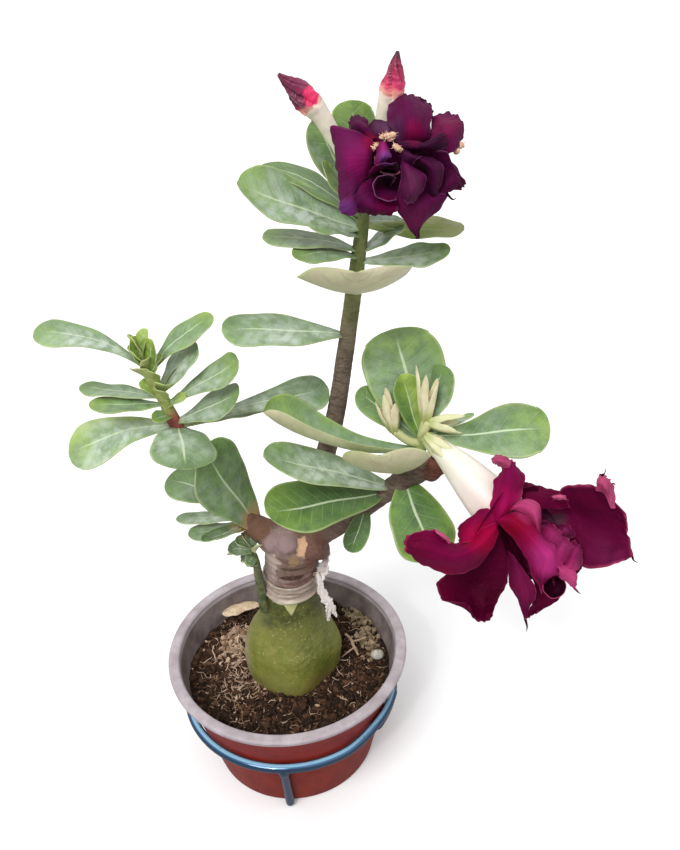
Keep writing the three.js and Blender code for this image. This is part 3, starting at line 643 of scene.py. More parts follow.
caudex_material, shader, place = new_material(
    "green_caudex_skin", Coat_Weight=0.15, Coat_Roughness=0.3, Subsurface_Weight=0.12, Subsurface_Scale=0.004)
shader.inputs["Subsurface Radius"].default_value = (0.6, 1.0, 0.2)
px, py, pz = split(place)
broad, _ = blotch(place, 55.0, 0.5, 0.22)
patch, _ = blotch(place, 150.0, 0.42, 0.12)
freckle, fine = blotch(place, 900.0, 0.2, 0.05)
turned = node(place.tree, "VectorRotate", 0, [("Vector", place), ("Angle", 0.5)], rotation_type="Y_AXIS")


def stretched(where, scale):
    return node(where.tree, "Mapping", 0, [("Vector", where), ("Scale", scale)])


drawn = stretched(turned, (0.5, 1.0, 4.0))
wrinkle, _ = blotch(drawn, 210.0, 0.4, 0.06)
green = mix(broad, (0.108, 0.132, 0.009), (0.172, 0.178, 0.02))
green = mix(patch * 0.5, green, (0.245, 0.225, 0.05))


def vector(kind, first, second, output=0):
    """A vector sum of two places, or of a place and three plain numbers."""
    return node(first.tree, "VectorMath", output, [(0, first), (1, second)], operation=kind)


def least(first, second):
    return reckoned("MINIMUM")(first, second)


def distance(where, centre):
    return vector("DISTANCE", where, centre, "Value")


# Painted shade: darker green over the upper right front of the caudex.
cheek = distance(place, (0.018, -0.016, 0.078))
shade = step(cheek, 0.019, 0.004) * (0.35 + wrinkle)
green = coats(green, (least(shade, 0.85), (0.06, 0.08, 0.006)), (wrinkle * 0.2, (0.095, 0.11, 0.01)))
# Painted light: a paler, yellower patch on the front left of the caudex's belly.
belly = distance(place, (-0.004, -0.023, 0.06))
green = mix(step(belly, 0.018, 0.003) * 0.5, green, (0.29, 0.285, 0.09))
left_side = step(px * -1.0, 0.0145, 0.0215)
worn = left_side * step(pz, 0.092, 0.07)
green = mix(worn * (0.55 + patch * 0.4), green, (0.4, 0.335, 0.225))
foot_tan = step(pz, 0.062, 0.046) * (0.3 + broad)
green = mix(least(foot_tan, 0.85), green, (0.285, 0.235, 0.06))
corner = distance(place, (0.017, -0.018, 0.055))
green = mix(step(corner, 0.015, 0.004) * (0.2 + patch), green, (0.2, 0.13, 0.045))
neck_dark = step(pz, 0.082, 0.098) * (0.55 + patch)
green = coats(green, (least(neck_dark, 0.9), (0.04, 0.05, 0.002)), (freckle * 0.5, (0.48, 0.45, 0.2)))
dress(shader, green, fine, 0.35, 0.5, 0.36 + fine * 0.3)
caudex = make_piece("caudex_bottle", closed_rings(caudex_points), caudex_material)
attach(caudex, "root")
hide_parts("caudex")


# ---------------------------------------------------------------- scion
# The grafted top: a stout barked trunk that forks into a tall centre stem, a left branch and a right
# branch that ends in a broken stub with a short leafy shoot. It grew as one piece of wood.

STEMS = {
    "trunk": (
        [
            (4.9, 0, 100), (4.9, 0, 106), (5.3, 0, 112), (5.9, 0, 118), (6.8, 0, 126), (8.6, 0, 135),
            (11, 0, 146)
        ],
        [11.8, 12.2, 12.3, 12.4, 12.6, 13.2, 8]
    ),
    "centre": (
        [(12, 1, 138), (21, 3, 165), (30, 4, 195), (35.5, 4, 224), (40, 3, 252), (44, 2, 277), (46, 2, 290)],
        [8, 5, 4, 3.6, 3.3, 2.7, 2.2]
    ),
    "left": (
        [
            (3, -1, 136), (-6, -3, 143), (-16, -5, 157), (-27, -5, 182), (-36, -5, 202), (-40, -5, 216),
            (-44, -5, 227), (-46, -5, 238)
        ],
        [8, 6, 4.2, 3.4, 3, 2.4, 2, 1.2]
    ),
    "right": (
        [(16, -2, 139), (28, -5, 146), (40, -10, 158), (52, -13, 169), (62, -14, 178), (72, -14, 182)],
        [8, 6, 5, 4.4, 4.6, 4.0]
    ),
    "shoot": ([(64, -14, 179), (65.5, -13, 188), (66, -12, 196)], [3.4, 2.6, 2.0])
}
WEDGE_POINT, WEDGE_TOP = 98.2, 107.0


def round_stem(share, turn):
    """Places on a stem that is drawn as a plain cylinder, for ripples along it and round it."""
    return np.stack([share * 40 + 0 * turn, np.cos(turn) * 3 + 0 * share, np.sin(turn) * 3 + 0 * share], -1)


def bark_relief(ring_depth, ring_gap, lump, seed):
    """Bark: flaking rings across the stem, each a saw-tooth wave bent by a slow wave round the stem,
    and irregular lumps."""
    rng = np.random.default_rng(seed)
    bend, twist = rng.uniform(0, 6, 2)

    def relief(share, turn):
        phase = share * ring_gap + 0.22 * np.sin(turn + bend) + 0.13 * np.sin(3 * turn + twist)
        tooth = phase - np.floor(phase)
        around = round_stem(share, turn)
        patchy = np.clip(0.5 + ripples(around, 5, seed + 1), 0, 1)
        return ring_depth * patchy * np.clip(1 - tooth * 1.4, 0, 1) + lump * ripples(around, 2.4, seed + 2)

    return relief


def ball(rows, sides, gap):
    """Rings of points on a unit sphere, from that far off one pole to as far off the other, in radians."""
    polar, turn = np.linspace(gap, np.pi - gap, rows)[:, None], circle(sides)[None]
    return np.stack(
        [np.sin(polar) * np.cos(turn), np.sin(polar) * np.sin(turn), np.cos(polar) + 0 * turn], -1
    )


wood = []


def catmull(points, count):
    """A smooth curve through the points: Catmull-Rom cubic pieces, with the end points mirrored."""
    p = np.array(points, float)
    p = p[:, None] if p.ndim == 1 else p
    last = len(p) - 1
    p = np.vstack([2 * p[0] - p[1], p, 2 * p[-1] - p[-2]])
    t = np.linspace(0, last, count) if np.isscalar(count) else np.asarray(count) * last
    i = np.minimum(t.astype(int), last - 1)
    f = (t - i)[:, None]
    a, b, c, d = p[i], p[i + 1], p[i + 2], p[i + 3]
    return 0.5 * (2 * b + (c - a) * f + (2 * a - 5 * b + 4 * c - d) * f**2 + (3 * b - a - 3 * c + d) * f**3)


def rod(points, radii, rows, sides, relief=None):
    """A closed skin along a smooth curve through the points, with one radius or one for each point."""
    girth = catmull(radii, rows)[:, 0] if np.ndim(radii) else radii
    return closed_rings(limb(catmull(points, rows), girth, sides, relief))


for name, rows, sides, depth, gap, lump in (
    ("trunk", 130, 72, 0.75, 15, 0.45), ("centre", 300, 28, 0.28, 46, 0.2),
    ("left", 220, 28, 0.3, 30, 0.22), ("right", 170, 32, 0.35, 22, 0.35), ("shoot", 40, 24, 0.15, 6, 0.1)
):
    wood.append(rod(*STEMS[name], rows, sides, bark_relief(depth, gap, lump, len(name) + rows)))
# Knuckles where the branches leave the trunk, and the splintered end of the right branch.
for x, y, z, size in (
    (6, -9, 139, 5.5), (17, -8, 136, 6.5), (-2, -6, 138, 5.5), (20, -6, 132, 5.0), (8, 8, 139, 6.5),
    (72, -14, 181, 4.9), (70, -16, 179.5, 4.2), (74, -13, 180.5, 3.6), (64, -14, 178, 5.0),
    (58, -13, 174, 4.9), (66, -15, 183.5, 3.6), (-33, -5, 196, 4.2), (-26, -5, 181, 4.1)
):
    lump = ball(12, 16, 0.08)
    wood.append(
        closed_rings(lump * (size + 0.6 * ripples(lump * size, 2.6, int(x + z)))[..., None] + [x, y, z])
    )
for stalk, stalk_r in (
    ([(45.5, 1, 285), (47.5, -1, 292), (49.5, -3, 297.5)], 1.6),
    ([(45, 2, 285), (43.5, 3, 291), (41.6, 4.3, 297)], 1.6),
    ([(46, 3, 285), (48, 6, 292), (49.3, 8, 298)], 1.6),
    ([(65, -13, 186), (67, -13, 191), (69.5, -14.6, 194.5)], 1.9)
):
    wood.append(rod(stalk, stalk_r, 20, 14))
wedge_share = np.linspace(0, 1, 10)[:, None]
wedge_z = WEDGE_POINT + (WEDGE_TOP - WEDGE_POINT) * wedge_share
corner = np.array([[-1, -1], [1, -1], [1, 1], [-1, 1]], float)
wedge_x = corner[:, 0] * 4.2 * wedge_share
wedge_y = corner[:, 1] * np.sqrt(
    np.clip((np.interp(wedge_z, [95, 98, 107], [14.0, 13.5, 13.1]) + 0.45) ** 2 - wedge_x**2, 1, None)
)
wood.append(closed_rings(np.stack([4.8 + wedge_x + 0.05 * corner[:, 0], wedge_y, wedge_z + 0 * wedge_x], -1)))

bark_material, shader, place = new_material("grey_brown_bark", Specular_IOR_Level=0.3)
px, py, pz = split(place)
squashed = stretched(place, (1.0, 1.0, 4.5))
bands, _ = blotch(squashed, 170.0, 0.5, 0.1)
flakes, flake_height = blotch(squashed, 420.0, 0.36, 0.05)
mottle, _ = blotch(place, 120.0, 0.5, 0.16)
fleck, fine = blotch(place, 1400.0, 0.28, 0.05)
bark = mix(mottle, (0.088, 0.062, 0.042), (0.172, 0.128, 0.095))
bark = coats(bark, (bands * 0.4, (0.27, 0.205, 0.165)), (flakes * 0.65, (0.07, 0.034, 0.026)))
on_trunk = step(pz, 0.156, 0.138)


def ragged(where, per_metre, reach_mm):
    """The place, shifted by noise, so that a mask made from it has an uneven edge."""
    noise = node(where.tree, "TexNoise", "Color", [("Vector", where), ("Scale", per_metre), ("Detail", 4.0)])
    centred = vector("SUBTRACT", noise, (0.5, 0.5, 0.5))
    reach = [(0, centred), ("Scale", 2.0 * reach_mm * MM)]
    return vector("ADD", where, node(where.tree, "VectorMath", 0, reach, operation="SCALE"))


rough_place = ragged(place, 260.0, 4.0)
flat_place = ragged(squashed, 160.0, 3.0)
flat_place = stretched(flat_place, (1.0, 1.0, 1 / 4.5))
trunk_colour = mix(mottle, (0.17, 0.105, 0.082), (0.26, 0.175, 0.15))
trunk_colour = mix(flakes * 0.45, trunk_colour, (0.085, 0.042, 0.03))


def spot(where, centre, size, fade=(1.15, 0.75)):
    """A mask that is 1 inside an ellipsoid and fades out round it. Centre and half sizes in millimetres."""
    away = vector("SUBTRACT", where, [c * MM for c in centre])
    scaled = vector("DIVIDE", away, [h * MM for h in size])
    return step(node(where.tree, "VectorMath", "Value", [(0, scaled)], operation="LENGTH"), *fade)


# Patches and thin bands of colour on the trunk. The pale lilac patches low on its left are painted light, and
# the dark red patch on its right is painted shade.
for centre, size, colour, strength in (
    ((17.5, -9, 134), (6, 9, 13), (0.165, 0.072, 0.048), 0.85),
    ((11, -12, 146), (12, 8, 4), (0.15, 0.09, 0.036), 0.8),
    ((2.5, -11, 141), (8.5, 8, 6.5), (0.315, 0.215, 0.215), 0.95),
    ((-2.4, -9, 130), (4.2, 7, 6), (0.52, 0.41, 0.355), 0.8),
    ((-4.5, -6, 121), (5.0, 9, 7), (0.4, 0.31, 0.28), 0.7),
    ((8.0, -13, 131.5), (2.6, 6, 4.2), (0.33, 0.215, 0.09), 0.7),
    ((11.9, -13, 137.8), (1.9, 6, 5.6), (0.64, 0.4, 0.245), 1.0),
    ((7, -12, 126.3), (7.0, 8, 0.9), (0.075, 0.045, 0.022), 0.9),
    ((6.5, -12, 121.0), (6.0, 8, 1.4), (0.05, 0.018, 0.012), 0.95),
    ((9, -12, 117.5), (7.0, 8, 1.2), (0.135, 0.062, 0.055), 0.8)
):
    where = flat_place if size[2] < 2 else rough_place
    trunk_colour = mix(spot(where, centre, size) * strength, trunk_colour, colour)
trunk_colour = mix(fleck * 0.25, trunk_colour, (0.4, 0.31, 0.27))
wedge_colour = mix(mottle, (0.34, 0.34, 0.13), (0.5, 0.48, 0.24))
trunk_colour = mix(step(pz, 0.1075, 0.1062), trunk_colour, wedge_colour)
bark = mix(on_trunk, bark, trunk_colour)
left_base = spot(rough_place, (-12, -5, 151), (13, 12, 12))
bark = mix(left_base * 0.75, bark, (0.185, 0.085, 0.045))
young = mix(mottle, (0.15, 0.19, 0.05), (0.26, 0.27, 0.11))
centre_green = step(pz, 0.225, 0.262) * step(px, 0.0, 0.02)
bark = mix(centre_green * 0.85, bark, young)
left_green = step(pz, 0.199, 0.211) * step(px, -0.01, -0.025)
bark = mix(left_green, bark, mix(mottle, (0.22, 0.26, 0.065), (0.42, 0.46, 0.17)))
shoot_green = step(pz, 0.183, 0.189) * step(px, 0.05, 0.058)
bark = mix(shoot_green, bark, (0.29, 0.34, 0.12))
red_node = distance(place, (-0.0355, -0.006, 0.2015))
bark = mix(step(red_node, 0.0115, 0.0055) * 0.9, bark, (0.26, 0.05, 0.045))
stub = distance(place, (0.0725, -0.015, 0.181))
raw = mix(flakes, (0.17, 0.06, 0.04), (0.055, 0.02, 0.016))
bark = mix(step(stub, 0.009, 0.005), bark, raw)
relief_sum = flake_height * 0.7 + fine * 0.4
dress(shader, bark, relief_sum, 0.8, 0.7, 0.55 + fine * 0.4)
scion = make_piece("scion_wood", gather(wood), bark_material)
remesh = scion.modifiers.new("grown_together", "REMESH")
remesh.mode, remesh.voxel_size, remesh.use_smooth_shade = "VOXEL", 0.00052, True
softened = scion.modifiers.new("softened", "SMOOTH")
softened.factor, softened.iterations = 0.5, 3
grown = bpy.data.meshes.new_from_object(scion.evaluated_get(bpy.context.evaluated_depsgraph_get()))
scion.modifiers.clear()
scion.data = grown
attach(scion, "root")
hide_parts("scion")


# ---------------------------------------------------------------- graft tape
# Clear budding film, wound round the union in overlapping turns and gone milky. Its end was tied at
# the right, where a stiff flap stands off, and hangs down in a frayed white tail.

TAPE_FOOT, TAPE_TOP = 106.2, 115.8
tape_z = np.linspace(TAPE_FOOT, TAPE_TOP, 44)[:, None]
turn = circle(120)[None]
trunk_path, trunk_girth = catmull(STEMS["trunk"][0], 400), catmull(STEMS["trunk"][1], 400)[:, 0]
middle_x, girth = (
    np.interp(tape_z, trunk_path[:, 2], numbers) for numbers in (trunk_path[:, 0], trunk_girth)
)
wind = (tape_z - TAPE_FOOT) / 4.6 + turn / (2 * np.pi)
overlap = 0.45 * (1 - (wind - np.floor(wind)))
crease = 0.35 * np.sin(tape_z * 2.3 + 2 * np.sin(turn * 2 + 1)) * np.sin(turn * 3 + tape_z * 0.4)
roll_edge = 0.9 * np.exp(-(((tape_z - TAPE_FOOT - 0.9) / 0.9) ** 2))
film_faces = []
for film_r in (girth + 0.75 + overlap + crease + roll_edge, girth + 0.3 + 0 * turn):
    tilted_z = tape_z + 0.8 * np.sin(turn * 2 + 2) + 0 * turn
    film_faces.append(np.stack([middle_x + film_r * np.cos(turn), film_r * np.sin(turn), tilted_z], -1))
film_skin = closed_rings(np.concatenate([film_faces[0], film_faces[1][::-1]]), joined=True)


def strip(path, width, thick, twist, seed, rows=70, columns=9):
    """A creased ribbon along a path: its cross direction turns with the twist, and its edges fray."""
    path = catmull(path, rows)
    along = unit(np.gradient(path, axis=0))
    a = np.radians(np.interp(np.linspace(0, 1, rows), np.linspace(0, 1, len(twist)), twist))[:, None]
    flat = unit(np.cross(along, [0.0, 1.0, 0.1]))
    out = np.cross(flat, along)
    across = np.cos(a) * flat + np.sin(a) * out
    normal = np.cross(along, across)
    t = np.linspace(-1, 1, columns)[None]
    s = np.linspace(0, 1, rows)[:, None]
    w = np.interp(s[:, 0], np.linspace(0, 1, len(width)), width)[:, None] / 2
    w = w * (1 + 0.18 * np.sin(s * 37 + t * 2 + seed) + 0.1 * np.sin(s * 91 + seed))
    fold = 0.35 * np.sin(t * 4 + s * 7 + seed) + 0.25 * np.sin(s * 31 + t * 5)
    middle = path[:, None] + across[:, None] * (w * t)[..., None]
    up = middle + normal[:, None] * (fold + thick / 2)[..., None]
    down = middle + normal[:, None] * (fold - thick / 2)[..., None]
    return closed_rings(np.concatenate([up, down[:, ::-1]], 1))


tail_skins = [
    strip(
        [
            (17.0, -6.5, 117.2), (19.3, -7.2, 118.5), (21.8, -5.8, 121.5), (22.8, -4.6, 126),
            (23.6, -4.4, 130.5)
        ],
        (6, 7, 6.5, 5.5, 2.2), 0.7, (75, 60, 70, 55), 1, 44
    ),
    strip(
        [
            (16.4, -7.8, 118.4), (18.1, -9, 119.6), (19.2, -10.4, 115), (20.0, -11.2, 110.5),
            (21.8, -11.8, 106), (23.6, -12, 102.5), (24.8, -12.2, 99), (25.9, -12.5, 95.5)
        ],
        (2.0, 2.6, 3.2, 4.0, 4.4, 3.6, 2.4, 0.8), 0.7, (10, -15, 20, -10, 25), 2
    ),
    strip(
        [(22.6, -12.2, 104.5), (22.4, -12.4, 100.5), (22.3, -12.2, 96), (21.6, -12, 93)],
        (3.0, 2.8, 2.2, 0.9), 0.6, (0, 25, 0), 3, 30, 7
    )
]
tape_material, shader, place = new_material(
    "milky_film", Specular_IOR_Level=0.6, Coat_Weight=0.35, Coat_Roughness=0.25, Subsurface_Weight=0.15,
    Subsurface_Scale=0.002)
squashed = stretched(place, (1.0, 1.0, 3.2))
thin, film_height = blotch(squashed, 190.0, 0.5, 0.12)
dirt, _ = blotch(squashed, 520.0, 0.25, 0.08)
film = mix(thin, (0.42, 0.345, 0.28), (0.26, 0.19, 0.15))
film = mix(dirt * 0.35, film, (0.24, 0.15, 0.12))
px, py, pz = split(place)
right_part = step(px, 0.002, 0.012)
film = mix(right_part * 0.6, film, (0.25, 0.18, 0.14))
edge_low = step(pz, (TAPE_FOOT + 2.6) * MM, (TAPE_FOOT + 0.8) * MM)
film = mix(edge_low * 0.6, film, (0.58, 0.51, 0.4))
loose = step(px, 0.0172, 0.0185)
film = mix(loose * 0.85, film, (0.74, 0.68, 0.66))
dress(shader, film, film_height, 0.5, 0.5, 0.3 + thin * 0.25)
tape = make_piece("wound_tape", film_skin, tape_material)
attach(tape, "root")
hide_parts("graft_tape_wrap")
tail = make_piece("loose_tape_end", gather(tail_skins), tape_material)
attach(tail, "root")
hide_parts("graft_tape_tail")


# ---------------------------------------------------------------- sucker
# A thin green shoot of the rootstock, soft and not yet woody, that came up beside the trunk. Its small
# leaves are made below with the others.

SPROUT = [
    (-8.4, -5, 95), (-8.6, -6.0, 103), (-8.9, -7, 112), (-9.3, -8, 122), (-9.6, -8, 130), (-11, -8, 137)
]
sucker_path = catmull(SPROUT, 90)
sucker_girth = catmull([2.6, 2.5, 2.2, 2.0, 1.5, 1.0], 90)[:, 0]
sucker_girth = sucker_girth * rounded_off(from_ends(90), 3, 0.02)
sucker_material, shader, place = new_material("green_shoot_skin", Roughness=0.5)
patch, fine = blotch(place, 260.0, 0.5, 0.15)
dress(shader, mix(patch, (0.05, 0.075, 0.025), (0.14, 0.15, 0.065)), fine, 0.3, 0.6)
sucker = make_piece(
    "sucker_stem", closed_rings(limb(sucker_path, sucker_girth, 18, bark_relief(0.07, 8, 0.1, 5))),
    sucker_material
)
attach(sucker, "root")
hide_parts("sucker")


# ---------------------------------------------------------------- leaves
# Thick, spoon-shaped leaves in whorls on the young ends of the branches: a pale midrib that stands out
# beneath, side veins that sink a little into the blade, a pale rim and a grey waxy bloom with painted
# sheen. Each leaf also carries painted shade, and its tip and edges are yellow-green, partly painted
# light. Small young leaves crowd the left shoot and the sucker.

LEAVES = {
    # stem, place on it, heading, rise, length, width, shape, bloom and painted sheen, lime (partly painted
    # light), dark (painted shade)
    "top_leaf": [
        ("centre", 0.99, 108, 71, 39, 18, dict(neck=1.3, blunt=5, roll=5), 0.1, 0.4, 0.5),
        ("centre", 0.97, 180, 64, 39, 15, dict(blunt=3, roll=-55), 0.35, 0.35, 0.3),
        ("centre", 0.88, 197, 27, 52, 22, dict(neck=0.8, fold=20, bow=-1, roll=-40), 0.85, 0.5, 0.1),
        ("centre", 0.9, 168, 30, 44, 18, dict(bow=4, roll=-5), 0.15, 0.3, 0.6),
        ("centre", 0.8, 190, 14, 38, 17, dict(neck=0.8, blunt=4, bow=2, roll=-5), 0.55, 0.45, 0.5),
        ("centre", 0.78, 217, 15, 31, 14, dict(neck=0.8, blunt=4, bow=2, roll=-10), 0.35, 0.45, 0.4),
        ("centre", 0.84, 215, 25, 27, 14, dict(bow=2, roll=-20), 0.9, 0.25, 0.0),
        ("centre", 0.72, 269, 18, 41, 40, dict(neck=0.8, blunt=4, bow=-4, curl=6, cup=0.3), 0.8, 0.3, 0.0),
        ("centre", 0.77, -7, 7, 36, 16, dict(bow=-1, roll=10), 1.0, 0.15, 0.1),
        ("centre", 0.89, 6, -7, 40, 15, dict(roll=-50), 0.0, 1.0, 0.1),
        ("centre", 0.79, 6, 32, 21, 15, dict(), 1.0, 0.0, 0.0),
        ("centre", 0.92, 30, -13, 20, 14, dict(roll=10), 0.5, 0.0, 0.6),
        ("centre", 0.94, 202, 56, 28, 9, dict(neck=0.8, blunt=3, roll=-35), 0.2, 0.8, 0.0),
    ],
    "middle_leaf": [
        ("centre", 0.57, 193, 12, 52, 22, dict(bow=1, roll=-15), 0.7, 0.2, 0.5),
    ],
    "left_leaf": [
        ("left", 0.9, 187, 27, 45, 16, dict(neck=1.4, blunt=5, bow=5, roll=-15), 0.75, 0.35, 0.2),
        ("left", 0.87, 10, 36, 36, 14, dict(bow=2, roll=15), 0.3, 0.55, 0.2),
        ("left", 0.74, 10, 49, 27, 13, dict(roll=15), 0.9, 0.1, 0.2),
        ("left", 0.76, 42, 45, 24, 10, dict(roll=-15), 0.6, 0.2, 0.4),
        ("left", 0.68, -5, 31, 38, 15, dict(neck=1.5, blunt=5, roll=30), 0.55, 0.45, 0.45),
        ("left", 0.59, -13, 28, 34, 18, dict(neck=1.1, blunt=4, roll=20), 0.5, 0.2, 0.6),
        ("left", 0.72, 172, 7, 35, 13, dict(roll=5), 0.4, 0.35, 0.45),
        ("left", 0.68, 197, 12, 31, 14, dict(), 0.3, 0.7, 0.0),
        ("left", 0.58, 191, -9, 46, 22, dict(neck=1.1, blunt=4, bow=3, roll=-25), 0.8, 0.8, 0.0),
        ("left", 0.57, 284, -20, 23, 28, dict(neck=0.8, blunt=3, bow=4, roll=-15), 0.6, 0.1, 0.6),
        ("left", 0.57, 11, 6, 66, 20, dict(neck=2.6, blunt=4, bow=2, roll=20), 0.7, 0.0, 0.9),
        ("left", 0.57, 11, 2, 38, 5, dict(neck=0.6, blunt=4, roll=-10), 0.2, 0.0, 0.8),
        ("left", 0.91, 195, 75, 14, 9, dict(neck=0.7, blunt=3, roll=-25), 0.0, 1.0, 0.0),
        ("left", 0.84, -44, 73, 20, 12, dict(neck=0.7, blunt=3, fold=15, roll=85), 0.0, 1.0, 0.0),
    ],
    "lower_leaf": [
        ("left", 0.14, 215, 67, 59, 28, dict(neck=0.8, blunt=4, roll=-70), 0.28, 0.1, 0.12),
        ("left", 0.29, 171, 24, 33, 20, dict(bow=3, roll=-10), 0.3, 0.1, 0.45),
        ("left", 0.24, 179, 2, 31, 10, dict(roll=5), 0.8, 0.0, 0.3),
        ("left", 0.2, 196, 3, 29, 12, dict(), 0.7, 0.0, 0.4),
        ("left", 0.18, 213, 9, 27, 8, dict(neck=0.8, blunt=3, fold=25), 0.3, 0.0, 0.9),
    ],
    "right_leaf": [
        ("shoot", 0.83, 111, 60, 48, 34, dict(neck=0.5, blunt=6, roll=-15), 0.25, 0.55, 0.3),
        ("shoot", 0.96, 48, 59, 31, 18, dict(roll=-10), 0.3, 0.2, 0.6),
        ("shoot", 0.58, 186, 22, 69, 28, dict(neck=1.2, blunt=4, fold=50, bow=-7, roll=3), 0.35, 0.6, 0.3),
        ("right", 0.63, 198, 29, 63, 22, dict(neck=0.8, fold=10, roll=-15), 0.85, 0.2, 0.3),
        ("right", 0.57, 211, 14, 59, 26, dict(neck=0.8, blunt=3, fold=10, roll=-20), 0.05, 0.35, 0.95),
        ("shoot", 0.83, 162, 37, 34, 14, dict(roll=-25), 0.15, 0.2, 0.4),
        ("shoot", 0.3, 236, 24, 38, 37, dict(neck=0.8, blunt=4, bow=-4, curl=6, cup=0.3, roll=20),
         0.35, 0.6, 0.0),
        ("shoot", 0.9, -11, 9, 53, 25, dict(neck=1.3, blunt=4, roll=30), 0.25, 0.45, 0.6),
        ("right", 0.72, -68, -40, 37, 28, dict(neck=0.7), 0.0, 0.7, 0.4),
        ("right", 0.45, -114, -28, 24, 11, dict(roll=5), 0.1, 0.0, 0.8),
        ("shoot", 0.96, 19, 11, 25, 7, dict(neck=0.8, blunt=4, roll=-15), 0.6, 0.4, 0.0),
        ("shoot", 0.83, 151, 74, 31, 14, dict(fold=20, roll=-35), 0.0, 0.9, 0.1),
    ],
}


def towards(heading, rise):
    """The unit direction at a heading from +X that rises above level, both in degrees."""
    h, r = math.radians(heading), math.radians(rise)
    return np.array([math.cos(r) * math.cos(h), math.cos(r) * math.sin(h), math.sin(r)])


def both_faces(over, beneath):
    """Rings that run across the upper face and back across the lower."""
    return np.concatenate([over, beneath[:, ::-1]], 1)


def on_faces(shape, **levels):
    """Values on the rings of both faces: each name has a value above and one beneath."""
    return {
        key: both_faces(*(np.broadcast_to(level, shape) for level in pair)) for key, pair in levels.items()
    }


def leaf_skin(
    base, d, length, width, seed, roll=0, bow=0, curl=0, fold=0, cup=0, neck=1, blunt=2.5, point=0.5,
    rim=0.35, thick=0.75, wave=0.3, up=(0, 0, 1), rows=64, columns=19
):
    """A leaf as one closed skin. Half the width at share s of the length is a power of s times a power
    of one minus s to the bluntness. The midline bows and curls, each half is raised by fold and cup, the
    edge waves, and the two faces stand apart by a thickness that thins to the rim. On the upper face the
    midrib and the side veins sink; on the lower face the midrib is a round rib."""
    rng = np.random.default_rng(seed)
    level = unit(np.array(up, float) - np.dot(up, d) * d)
    a = math.radians(roll)
    normal = math.cos(a) * level + math.sin(a) * np.cross(d, level)
    side = np.cross(d, normal)
    s = (np.linspace(0, 1, rows) ** 0.92)[:, None]
    s[-1] = 0.9993
    t = np.sin(np.linspace(-1, 1, columns) * np.pi / 2)[None]
    t = t * 0.55 + np.linspace(-1, 1, columns)[None] * 0.45
    widest = (neck / (neck + point * blunt)) ** (1 / blunt)
    peak = widest**neck * (1 - widest**blunt) ** point
    outline = s**neck * np.clip(1 - s**blunt, 0, 1) ** point / peak
    half = 0.9 * np.sqrt(1 - s**4) + (width / 2 - 0.54) * outline
    uneven = 1 + 0.04 * np.sin(s * rng.uniform(5, 9) + rng.uniform(0, 6)) + 0.006 * np.sin(
        s * rng.uniform(18, 28) + rng.uniform(0, 6))
    half = half * np.where(s < 0.9, uneven, 1)
    sway = (
        rng.uniform(-0.02, 0.02) * length * np.sin(np.pi * s)
        + 0.006 * length * np.sin(s * 11 + rng.uniform(0, 6))
    )
    middle = base + d * (length * s)[..., None] + level * (bow * 4 * s * (1 - s) + curl * s**3)[..., None]
    middle = middle + side * sway[..., None]
    fold_now = math.radians(fold)
    lift = half * (math.sin(fold_now) * (np.sqrt(t**2 + 0.03) - 0.173) + cup * t**2)
    lift = lift + 0.06 * half * t**2 * np.sin(2 * np.pi * s * 1.5 + rng.uniform(0, 6) + np.sign(t) * 0.8)
    edge_wave = wave * t**4 * np.sin(
        2 * np.pi * s * rng.uniform(1.8, 3.2) + rng.uniform(0, 6) + np.sign(t)
    ) * outline
    lateral = half * t * np.cos(fold_now * np.sqrt(np.abs(t)))
    count = max(5, round(length / 5.2))
    vein = s * count - np.abs(t) * 1.15 * np.clip(half / 8, 0.4, 1.4)
    vein_cut = (
        np.exp(-(((vein - np.round(vein)) / 0.13) ** 2)) * np.clip(outline * 1.3, 0, 1)
        * np.clip(1.05 - np.abs(t), 0, 1)
    )
    quilt = 0.5 - 0.5 * np.cos(2 * np.pi * vein)
    rib = np.exp(-((t * half / 0.7) ** 2)) * np.clip(1.1 - s, 0, 1)
    skin_half = 0.5 * (rim + (thick - rim) * np.clip(1 - t**2, 0, 1) ** 0.5) * np.clip((1 - s) * 14, 0.35, 1)
    upper = (
        lift + edge_wave + skin_half - 0.13 * vein_cut + 0.06 * quilt * outline * (1 - t**2)
        - 0.35 * rib * outline
    )
    lower = lift + edge_wave - skin_half - (0.75 * rib + 0.08 * vein_cut) * np.clip(1.2 - s, 0, 1)
    flat = middle + side * lateral[..., None]
    skin = closed_rings(both_faces(flat + normal * upper[..., None], flat + normal * lower[..., None]))
    values = on_faces((rows, columns), along=(s, s), across=(t, t), under=(0, 1), vein=(vein, vein))
    return skin, {
        key: np.concatenate([both.ravel(), [both[0].mean(), both[-1].mean()]]) for key, both in values.items()
    }


# Veins on a leaf: pale lines at the midrib and along the side veins, from the blade's own measures.
veins, (along, across, vein), made_here = new_group(
    "leaf_veins", [("Along", "Float", 0.0), ("Across", "Float", 0.0), ("Vein", "Float", 0.0)],
    ["Midrib", "Side veins", "Between", "Rim"]
)
from_middle = abs(across)
rib_line = step(from_middle / (0.022 + (1.0 - along) * 0.075), 1.0, 0.45)
nearest = abs(vein - round(vein))
feed(made_here["Midrib"], rib_line * step(along, 0.97, 0.72))
feed(made_here["Between"], step(nearest, 0.03, 0.34))
feed(made_here["Side veins"], step(nearest, 0.075, 0.015) * step(from_middle, 0.95, 0.45))


def most(first, second):
    return reckoned("MAXIMUM")(first, second)


feed(made_here["Rim"], most(step(from_middle, 0.9, 0.985), step(along, 0.985, 0.998)))

